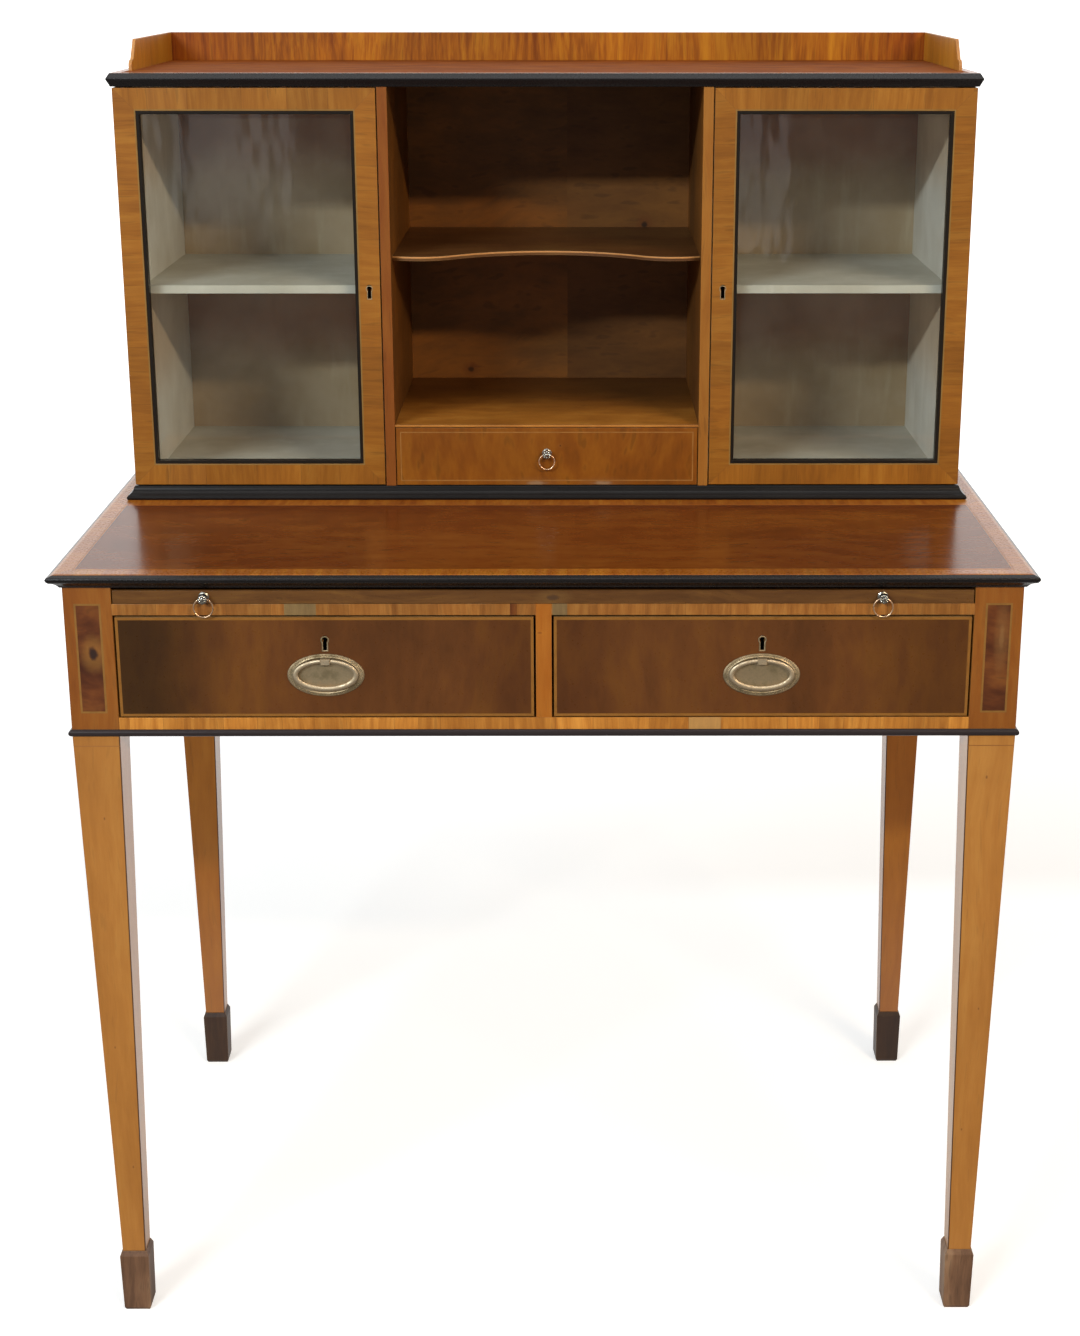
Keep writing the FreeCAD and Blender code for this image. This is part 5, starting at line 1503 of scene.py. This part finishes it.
    def small_drawer(self) -> None:
        """The front of the small drawer: a line, worn patches and a dark spot."""
        low = (-self.drawer_half, 0.0, self.drawer_bottom)
        high = (self.drawer_half, 0.0, self.drawer_top)
        box = through((low, high))
        line = Stringing(*box, self.line_inset, self.line, "#9A6A34", "#6E431C")
        front = Laid(SMALL_WOOD, Grain.BOARD_Z, 3.0, 0.04)
        Veneered("small_drawer", front, (line, *self.DRAWER_KNOTS)).on("small_drawer_front")

    def gallery(self) -> None:
        """The low gallery and the mouldings."""
        cells = Cells(0.075, 4.0, odd=0.99, low=0.85, high=1.16, joint=0.2)
        whole = (-WIDE, -WIDE, 0.0), (WIDE, WIDE, 2.0)
        ground = Laid(GALLERY_WOOD, Grain.ALONG_Z)
        back = Region(Laid(GALLERY_WOOD, Grain.ALONG_Z, 2.0), *whole, cells, 0)
        start, end = self.gallery_ends
        ends = [Fade("#DCC0A8", 0, start * side, end * side) for _, side in SIDES]
        Veneered("gallery_back", ground, (back, *ends)).on("gallery_back")
        sides = Region(Laid(GALLERY_SIDE, Grain.ALONG_Z, 6.0), *whole, cells, 1)
        cut = Facing(Laid(END_GRAIN, Grain.ALONG_Z), (0.0, -1.0, 0.0))
        Veneered("gallery_sides", ground, (sides, cut)).on("gallery_sides")
        low = (-self.roof_half, self.roof_front, self.roof - self.skin)
        high = (self.roof_half, WIDE, self.top)
        top = Region(Laid(ROOF_WOOD, Grain.BOARD_X, 8.0, 0.05), low, high)
        black = Laid(EBONY, Grain.ALONG_X, 4.0)
        Veneered("top_moulding", black, (top,), BLACK_POLISH).on("top_moulding")
        Ebonised("base_moulding").on("base_moulding")

    def build(self) -> None:
        """Dress the case."""
        self.walls()
        self.back()
        self.boards()
        self.small_drawer()
        self.gallery()


@dataclass
class Doors:
    """The crossbanded frames, their black beads and the old panes."""

    inner: float = 0.1625
    outer: float = 0.4134
    bottom: float = 0.7742
    top: float = 1.1613
    skin_front: float = 0.0090
    skin_back: float = 0.0104
    member: float = 0.0213
    lap: float = 0.001
    line: float = 0.0011
    margin: float = 0.0002

    def frame(self, word: str, side: int) -> None:
        """One frame.

        Args:
            word: Left or right.
            side: Minus one on the left, one on the right.
        """
        low = (self.inner, self.skin_front, self.bottom)
        high = (self.outer, self.skin_back, self.top)
        face = mirrored((low, high), side)
        cells = Cells(0.048, 31.0 + side * 7.0, odd=0.99, other="#A8804C", low=0.88, high=1.12)
        inset = self.member - self.line / 2 - self.margin
        layers = (
            Band(DOOR_WOOD, (0, 2), *face, self.member + self.lap, cells, line="#7A4A1C"),
            Stringing(*through(face), inset, self.line, "#8A6C38", "#6C4E22"),
        )
        ground = Laid(DOOR_WOOD, Grain.ALONG_Z, 2.0 * side)
        Veneered("door_" + word, ground, layers).on("door_%s_frame" % word)

    def build(self) -> None:
        """Dress frames, beads and panes."""
        for word, side in SIDES:
            self.frame(word, side)
        Ebonised("glazing_bead", "#1E1812", "#4A3218").on("door_left_bead", "door_right_bead")
        OldGlass().on("door_left_glass", "door_right_glass")


Ring = list[bmesh.types.BMVert]


def circle(count: int) -> list[tuple[float, float]]:
    """The cosine and sine of evenly spaced angles."""
    angles = [math.tau * i / count for i in range(count)]
    return [(math.cos(a), math.sin(a)) for a in angles]


class Shape:
    """A mesh in the making."""

    def __init__(self) -> None:
        """Start with nothing."""
        self.mesh = bmesh.new()

    def ring(self, points: list[Point]) -> Ring:
        """Add a row of points."""
        return [self.mesh.verts.new(p) for p in points]

    def skin(self, rings: list[Ring], closed: bool = True) -> None:
        """Join neighbouring rows with faces.

        Args:
            rings: Rows of as many points each.
            closed: Whether a row runs round on itself.
        """
        for first, second in zip(rings, rings[1:]):
            count = len(first)
            for i in range(count if closed else count - 1):
                j = (i + 1) % count
                self.mesh.faces.new((first[i], first[j], second[j], second[i]))

    def cap(self, ring: Ring) -> None:
        """Close a row with a fan of faces.

        Args:
            ring: The row.
        """
        middle = sum((v.co for v in ring), Vector()) / len(ring)
        hub = self.mesh.verts.new(middle)
        for i, vert in enumerate(ring):
            self.mesh.faces.new((vert, ring[(i + 1) % len(ring)], hub))

    def end(self, ring: Ring) -> None:
        """Close a row with one face."""
        self.mesh.faces.new(ring)

    def finish(
        self, name: str, body: str, material: bpy.types.Material, sharp: float = 40.0
    ) -> bpy.types.Object:
        """Make the object, a piece of brasswork.

        Args:
            name: Its name.
            body: The body that it rides on.
            material: Its material.
            sharp: The angle in degrees over which an edge stays sharp.

        Returns:
            The object.
        """
        bmesh.ops.remove_doubles(self.mesh, verts=self.mesh.verts, dist=1e-6)
        bmesh.ops.recalc_face_normals(self.mesh, faces=self.mesh.faces)
        for edge in self.mesh.edges:
            edge.smooth = len(edge.link_faces) != 2 or edge.calc_face_angle() < math.radians(sharp)
        for face in self.mesh.faces:
            face.smooth = True
        data = bpy.data.meshes.new(name)
        self.mesh.to_mesh(data)
        self.mesh.free()
        data.materials.append(material)
        piece = bpy.data.objects.new(name, data)
        bpy.context.scene.collection.objects.link(piece)
        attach(piece, body)
        LOG.info("%s on %s: %d faces", name, body, len(data.polygons))
        return piece


@dataclass
class OvalPulls:
    """Dished oval plates with a beaded rim, and the bails that hang on them."""

    x: float = 0.1958
    z: float = 0.6648
    half_width: float = 0.03465
    half_height: float = 0.0200
    steps: int = 152
    beads: int = 76
    bead: float = 0.00062
    bead_sides: int = 7
    bead_foot: float = 0.00105
    post_z: float = 0.6780
    post_half_width: float = 0.0043
    post_half_height: float = 0.0027
    bail_half_width: float = 0.0271
    bail_half_height: float = 0.013075
    bail_z: float = 0.665425
    bail_middle: float = -0.2763
    wire_sides: int = 12
    wire_top: float = 0.0017
    wire_foot: float = 0.0023
    swell: float = 0.45
    cheek: float = 0.0002
    thick: float = 0.0011

    # share of the oval and height over the wood, from the rim to the middle of the dish
    PROFILE = (
        (1.000, 0.0000), (0.998, 0.0006), (0.985, 0.0010), (0.960, 0.0011),
        (0.885, 0.0012), (0.870, 0.0015), (0.850, 0.0016), (0.830, 0.0014),
        (0.800, 0.0008), (0.700, 0.0005), (0.400, 0.00035), (0.100, 0.0003),
    )
    # share of the oval, share of the bead's size and shift in beads
    BEAD_ROWS = ((0.945, 1.0, 0.0), (0.905, 0.8, 0.5))
    BEAD_LIFTS = (0.0, 0.55, 0.9)
    # share of the post's outline and height over the wood
    POST = ((1.0, 0.0002), (1.0, 0.0046), (0.86, 0.0054), (0.80, 0.0054))

    def oval(self, x: float, share: float, reach: float) -> list[Point]:
        """A row of points round the oval."""
        wide, high = self.half_width * share, self.half_height * share
        return [(x + wide * c, FRONT - reach, self.z + high * s) for c, s in circle(self.steps)]

    def studs(self, shape: Shape, x: float) -> None:
        """Two rows of small beads round the rim.

        Args:
            shape: The mesh that takes them.
            x: The plate's middle.
        """
        for i in range(self.beads):
            for share, size, shift in self.BEAD_ROWS:
                turn = math.tau * (i + shift) / self.beads
                self.stud(
                    shape,
                    x + self.half_width * share * math.cos(turn),
                    self.z + self.half_height * share * math.sin(turn),
                    self.bead * size,
                )

    def stud(self, shape: Shape, x: float, z: float, size: float) -> None:
        """One bead.

        Args:
            shape: The mesh that takes it.
            x: Its middle.
            z: Its height.
            size: Its radius.
        """
        rings = []
        for lift in self.BEAD_LIFTS:
            r, y = size * math.sqrt(1 - lift * lift), FRONT - self.bead_foot - size * lift
            rings.append(shape.ring([(x + r * c, y, z + r * s) for c, s in circle(self.bead_sides)]))
        shape.skin(rings)
        shape.cap(rings[-1])

    def post(self, shape: Shape, x: float) -> None:
        """The chamfered block at the top that holds the bail.

        Args:
            shape: The mesh that takes it.
            x: Its middle.
        """
        rings = []
        for share, reach in self.POST:
            w, h = self.post_half_width * share, self.post_half_height * share
            corners = ((-w, -h), (w, -h), (w, h), (-w, h))
            rings.append(shape.ring([(x + u, FRONT - reach, self.post_z + v) for u, v in corners]))
        shape.skin(rings)
        shape.end(rings[-1])

    def bail(self, word: str, x: float, metal: bpy.types.Material) -> None:
        """The oval bail: thinnest in the post, thicker towards its foot.

        Args:
            word: Left or right.
            x: Its middle.
            metal: Its metal.
        """
        shape = Shape()
        rings = []
        for cx, cz in circle(self.steps):
            foot = ((1 - cz) / 2) ** self.swell
            wire = self.wire_top + (self.wire_foot - self.wire_top) * foot + self.cheek * cx * cx
            across, up = self.bail_half_width, self.bail_half_height
            spot = Vector((x + across * cx, self.bail_middle, self.bail_z + up * cz))
            out = Vector((cx / across, 0.0, cz / up)).normalized() * wire
            front = Vector((0.0, self.thick, 0.0))
            row = [tuple(spot + out * c + front * s) for c, s in circle(self.wire_sides)]
            rings.append(shape.ring(row))
        shape.skin([*rings, rings[0]])
        piece = shape.finish("bail_" + word, "bail_" + word, metal)
        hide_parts("drawer_%s_bail" % word)

    def build(self, plate: bpy.types.Material, bright: bpy.types.Material) -> None:
        """Make both pulls.

        Args:
            plate: The metal of the plates.
            bright: The metal of the bails and their posts.
        """
        for word, side in SIDES:
            x = self.x * side
            dish = Shape()
            rings = [dish.ring(self.oval(x, share, reach)) for share, reach in self.PROFILE]
            dish.skin(rings)
            dish.cap(rings[-1])
            self.studs(dish, x)
            piece = dish.finish("plate_" + word, "drawer_" + word, plate)
            block = Shape()
            self.post(block, x)
            post = block.finish("plate_block_" + word, "drawer_" + word, bright, 20.0)
            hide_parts("drawer_%s_plate" % word)
            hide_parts("drawer_%s_plate" % word)
            self.bail(word, x, bright)


@dataclass
class Rosettes:
    """Small lobed bosses on the ends of the turned knobs."""

    radius: float = 0.0043
    height: float = 0.0011
    lobes: int = 8
    steps: int = 96
    lobed_beyond: float = 0.42
    notch: float = 0.14
    sink: float = 0.45
    foot: float = 0.0006

    # share of the radius and share of the height, from the foot to the crown
    PROFILE = (
        (1.02, 0.0), (0.94, 0.45), (0.78, 0.78), (0.60, 0.80),
        (0.44, 0.62), (0.40, 0.85), (0.26, 1.12), (0.10, 1.2),
    )
    # name, body, and the middle of the knob's end
    PLACES = (
        ("rosette_left", "writing_slide", (-0.302, -0.2825, 0.7376)),
        ("rosette_right", "writing_slide", (0.302, -0.2825, 0.7376)),
        ("rosette_small", "small_drawer", (0.0, 0.0005, 0.806)),
    )

    def row(self, centre: Point, share: float, reach: float) -> list[Point]:
        """A row of points round the boss, lobed where it is wide.

        Args:
            centre: The middle of the knob's end.
            share: Share of the radius.
            reach: How far it stands out; the foot, sunk in the knob, is level.

        Returns:
            The points.
        """
        x, face, z = centre
        row = []
        for i in range(self.steps):
            a = math.tau * i / self.steps
            wave = abs(math.cos(self.lobes * a / 2)) if share > self.lobed_beyond else 1.0
            r = self.radius * share * (1 - self.notch + self.notch * wave)
            rise = reach * (1 - self.sink + self.sink * wave) if reach > 0 else reach
            row.append((x + r * math.cos(a), face - rise, z + r * math.sin(a)))
        return row

    def build(self, metal: bpy.types.Material) -> None:
        """Make all three.

        Args:
            metal: Their metal.
        """
        for name, body, centre in self.PLACES:
            shape = Shape()
            rings = [shape.ring(self.row(centre, 1.0, -self.foot))]
            for share, lift in self.PROFILE:
                rings.append(shape.ring(self.row(centre, share, self.height * lift)))
            shape.skin(rings)
            shape.cap(rings[-1])
            shape.finish(name, body, metal)


@dataclass(frozen=True)
class Keyhole:
    """A keyhole on each side: its place, how wide its brass is and how deep it goes."""

    part: str
    x: float
    face: float
    z: float
    brass: float
    depth: float


@dataclass
class KeyholeThreads:
    """Thin brass outlines let in round the keyholes, and dark linings inside the holes that paint
    their shade.
    """

    eye: float = 0.0026
    slot: float = 0.0017
    height: float = 0.012
    proud: float = 0.00025
    steps: int = 32
    corner: float = 0.3
    clear: float = 0.00002
    root: float = 0.0008
    lip: float = 0.0002
    edge: float = 0.0001
    inset: float = 0.00003
    mouth: float = 0.0006

    # share of the brass's width and share of its height
    CROWN = ((0.6, 1.2), (1.0, 0.5))
    HOLES = (
        Keyhole("drawer", 0.1958, FRONT, 0.694, 0.0012, 0.008),
        Keyhole("door", 0.1731, 0.010, 0.9665, 0.0008, 0.006),
    )

    def outline(self, x: float, z: float, grow: float) -> list[tuple[float, float]]:
        """The keyhole's outline, grown by some width.

        Args:
            x: Its middle.
            z: Its middle height.
            grow: The distance outside the hole.

        Returns:
            Points round it, from the right of the slot.
        """
        eye_z = z + self.height / 2 - self.eye
        r, half = self.eye + grow, self.slot + grow
        start = math.asin(min(1.0, half / r))
        points = []
        for i in range(self.steps + 1):
            a = -math.pi / 2 + start + (math.tau - 2 * start) * i / self.steps
            points.append((x + r * math.cos(a), eye_z + r * math.sin(a)))
        foot, corner = z - self.height / 2 - grow, grow * self.corner
        points.append((x - half, foot + corner))
        points.append((x - half + corner, foot))
        points.append((x + half - corner, foot))
        points.append((x + half, foot + corner))
        return points

    def rings(
        self, shape: Shape, hole: Keyhole, side: int, rows: list[tuple[float, float]]
    ) -> list[Ring]:
        """Skin a hole's outline along some rows.

        Args:
            shape: The mesh that takes them.
            hole: The keyhole.
            side: Minus one on the left, one on the right.
            rows: How far each row is grown and how far it stands out.

        Returns:
            The rows.
        """
        rings = []
        for grow, reach in rows:
            outline = self.outline(hole.x * side, hole.z, grow)
            rings.append(shape.ring([(u, hole.face - reach, v) for u, v in outline]))
        shape.skin(rings)
        return rings

    def thread(self, hole: Keyhole, word: str, side: int, metal: bpy.types.Material) -> None:
        """One brass outline.

        Args:
            hole: The keyhole.
            word: Left or right.
            side: Minus one on the left, one on the right.
            metal: The brass.
        """
        rows = [
            (self.clear, -self.root),
            (self.clear, 0.0),
            (self.lip, self.proud),
            *((hole.brass * wide, self.proud * high) for wide, high in self.CROWN),
            (hole.brass, -self.edge),
        ]
        shape = Shape()
        self.rings(shape, hole, side, rows)
        shape.finish("%s_thread_%s" % (hole.part, word), "%s_%s" % (hole.part, word), metal, 60.0)

    def lining(self, hole: Keyhole, word: str, side: int, metal: bpy.types.Material) -> None:
        """A dark lining inside a hole, closed at its end: painted shade, since the real hole is dark
        only for its depth.

        Args:
            hole: The keyhole.
            word: Left or right.
            side: Minus one on the left, one on the right.
            metal: The near-black metal that paints the hole's shade.
        """
        shape = Shape()
        rows = [(-self.inset, -self.mouth), (-self.inset, -hole.depth)]
        rings = self.rings(shape, hole, side, rows)
        shape.end(rings[-1])
        shape.finish("%s_keyhole_%s" % (hole.part, word), "%s_%s" % (hole.part, word), metal, 60.0)

    def build(self, brass: bpy.types.Material, hole_shade: bpy.types.Material) -> None:
        """Make all four.

        Args:
            brass: The metal of the outlines.
            hole_shade: The near-black metal that paints the holes' shade.
        """
        for word, side in SIDES:
            for hole in self.HOLES:
                self.lining(hole, word, side, hole_shade)
            for hole in self.HOLES:
                self.thread(hole, word, side, brass)


@dataclass
class Screws:
    """Slotted countersunk screws in hinge leaves and lock cases."""

    radius: float = 0.0021
    slot: float = 0.00038
    depth: float = 0.0004
    steps: int = 12
    hinge_x: float = 0.4060
    door_face: float = 0.0270
    case_face: float = 0.0280
    lock_x: float = 0.1958
    lock_face: float = -0.2530
    door_turn: float = 1.3
    case_turn: float = 1.7
    lock_turn: float = 0.9

    LEAVES = (0.8342, 1.0513)
    LEAF_HOLES = (0.0083, 0.0250, 0.0417)
    LOCK_HOLES = ((-0.0185, 0.6925), (-0.0185, 0.7150), (0.0185, 0.6925), (0.0185, 0.7150))
    # share of the radius and height over the metal
    RIM = ((1.0, 0.00003), (0.93, 0.00009))

    def head(self, shape: Shape, centre: Point, way: int, turn: float) -> None:
        """One head: two half discs beside a slot.

        Args:
            shape: The mesh that takes it.
            centre: Its middle, on the metal's face.
            way: Minus one if the face looks forwards, one if it looks back.
            turn: The angle of the slot.
        """
        x, y, z = centre
        edge = math.asin(self.slot / self.radius)
        for half in (0.0, math.pi):
            rings = []
            for share, lift in ((1.0, -self.depth), *self.RIM):
                row = []
                for i in range(self.steps + 1):
                    a = edge + (math.pi - 2 * edge) * i / self.steps + half + turn
                    r = self.radius * share
                    row.append((x + r * math.cos(a), y + way * lift, z + r * math.sin(a)))
                rings.append(shape.ring(row))
            shape.skin(rings)
            shape.end(rings[-1])

    def build(self, metal: bpy.types.Material) -> None:
        """Set the screws of both doors, the cabinet and the drawer locks.

        Args:
            metal: Their metal.
        """
        count = 0
        on_case = Shape()
        for word, side in SIDES:
            on_door = Shape()
            for bottom in self.LEAVES:
                for up in self.LEAF_HOLES:
                    count += 1
                    x, z = self.hinge_x * side, bottom + up
                    self.head(on_door, (x, self.door_face, z), 1, count * self.door_turn)
                    self.head(on_case, (x, self.case_face, z), -1, count * self.case_turn)
            on_door.finish("door_screws_" + word, "door_" + word, metal, 20.0)
            on_lock = Shape()
            for dx, z in self.LOCK_HOLES:
                count += 1
                x = self.lock_x * side + dx
                self.head(on_lock, (x, self.lock_face, z), 1, count * self.lock_turn)
            on_lock.finish("lock_screws_" + word, "drawer_" + word, metal, 20.0)
        on_case.finish("hinge_screws", "desk", metal, 20.0)


class Brasswork:
    """All the metal."""

    def build(self) -> None:
        """Dress the carried-over metal and make the fine pieces."""
        plate = Metal("plate_brass", "#D2BC98", "#8A7C60", "#463C2C", 0.42, 0.9, 70.0).build()
        bright = Metal("handled_brass", "#DCCAAC", "#AC987C", "#5A4C38", 0.46, 0.65).build()
        silver = Metal("silvered_brass", "#B4B0A6", "#6C6860", "#2A2622", 0.18, 0.7).build()
        pink = Metal("ring_brass", "#F0CCA8", "#C49C7A", "#6A4C36", 0.22, 0.4).build()
        brass = Metal("plain_brass", "#B49A60", "#8A7444", "#3A3020").build()
        steel = Metal("steel", "#8E8C86", "#5C5850", "#2A2622").build()
        # near-black metal that paints the shade inside the keyholes
        hole_shade = Metal("hole_shade", "#1A1613", "#120F0D", "#080605", 0.6).build()
        dress(brass, "door_left_hardware", "door_right_hardware", "cabinet_hinges")
        dress(brass, "drawer_left_lock", "drawer_right_lock")
        dress(plate, "drawer_left_plate", "drawer_right_plate")
        dress(bright, "drawer_left_bail", "drawer_right_bail")
        dress(silver, "slide_knobs", "small_drawer_knob")
        dress(pink, "slide_ring_left", "slide_ring_right", "small_drawer_ring")
        dress(steel, "door_left_bolt", "door_right_bolt", "drawer_left_bolt", "drawer_right_bolt")
        OvalPulls().build(plate, bright)
        Rosettes().build(silver)
        KeyholeThreads().build(plate, hole_shade)
        Screws().build(brass)


def main() -> None:
    """Build the piece in order."""
    logging.basicConfig(level=logging.INFO, format="%(message)s")
    Camera().build()
    Studio().build()
    for part in (TableTop(), Legs(), Frieze(), Cabinet(), Doors(), Brasswork()):
        part.build()
        LOG.info("%s done", type(part).__name__)


if __name__ == "__main__":
    main()
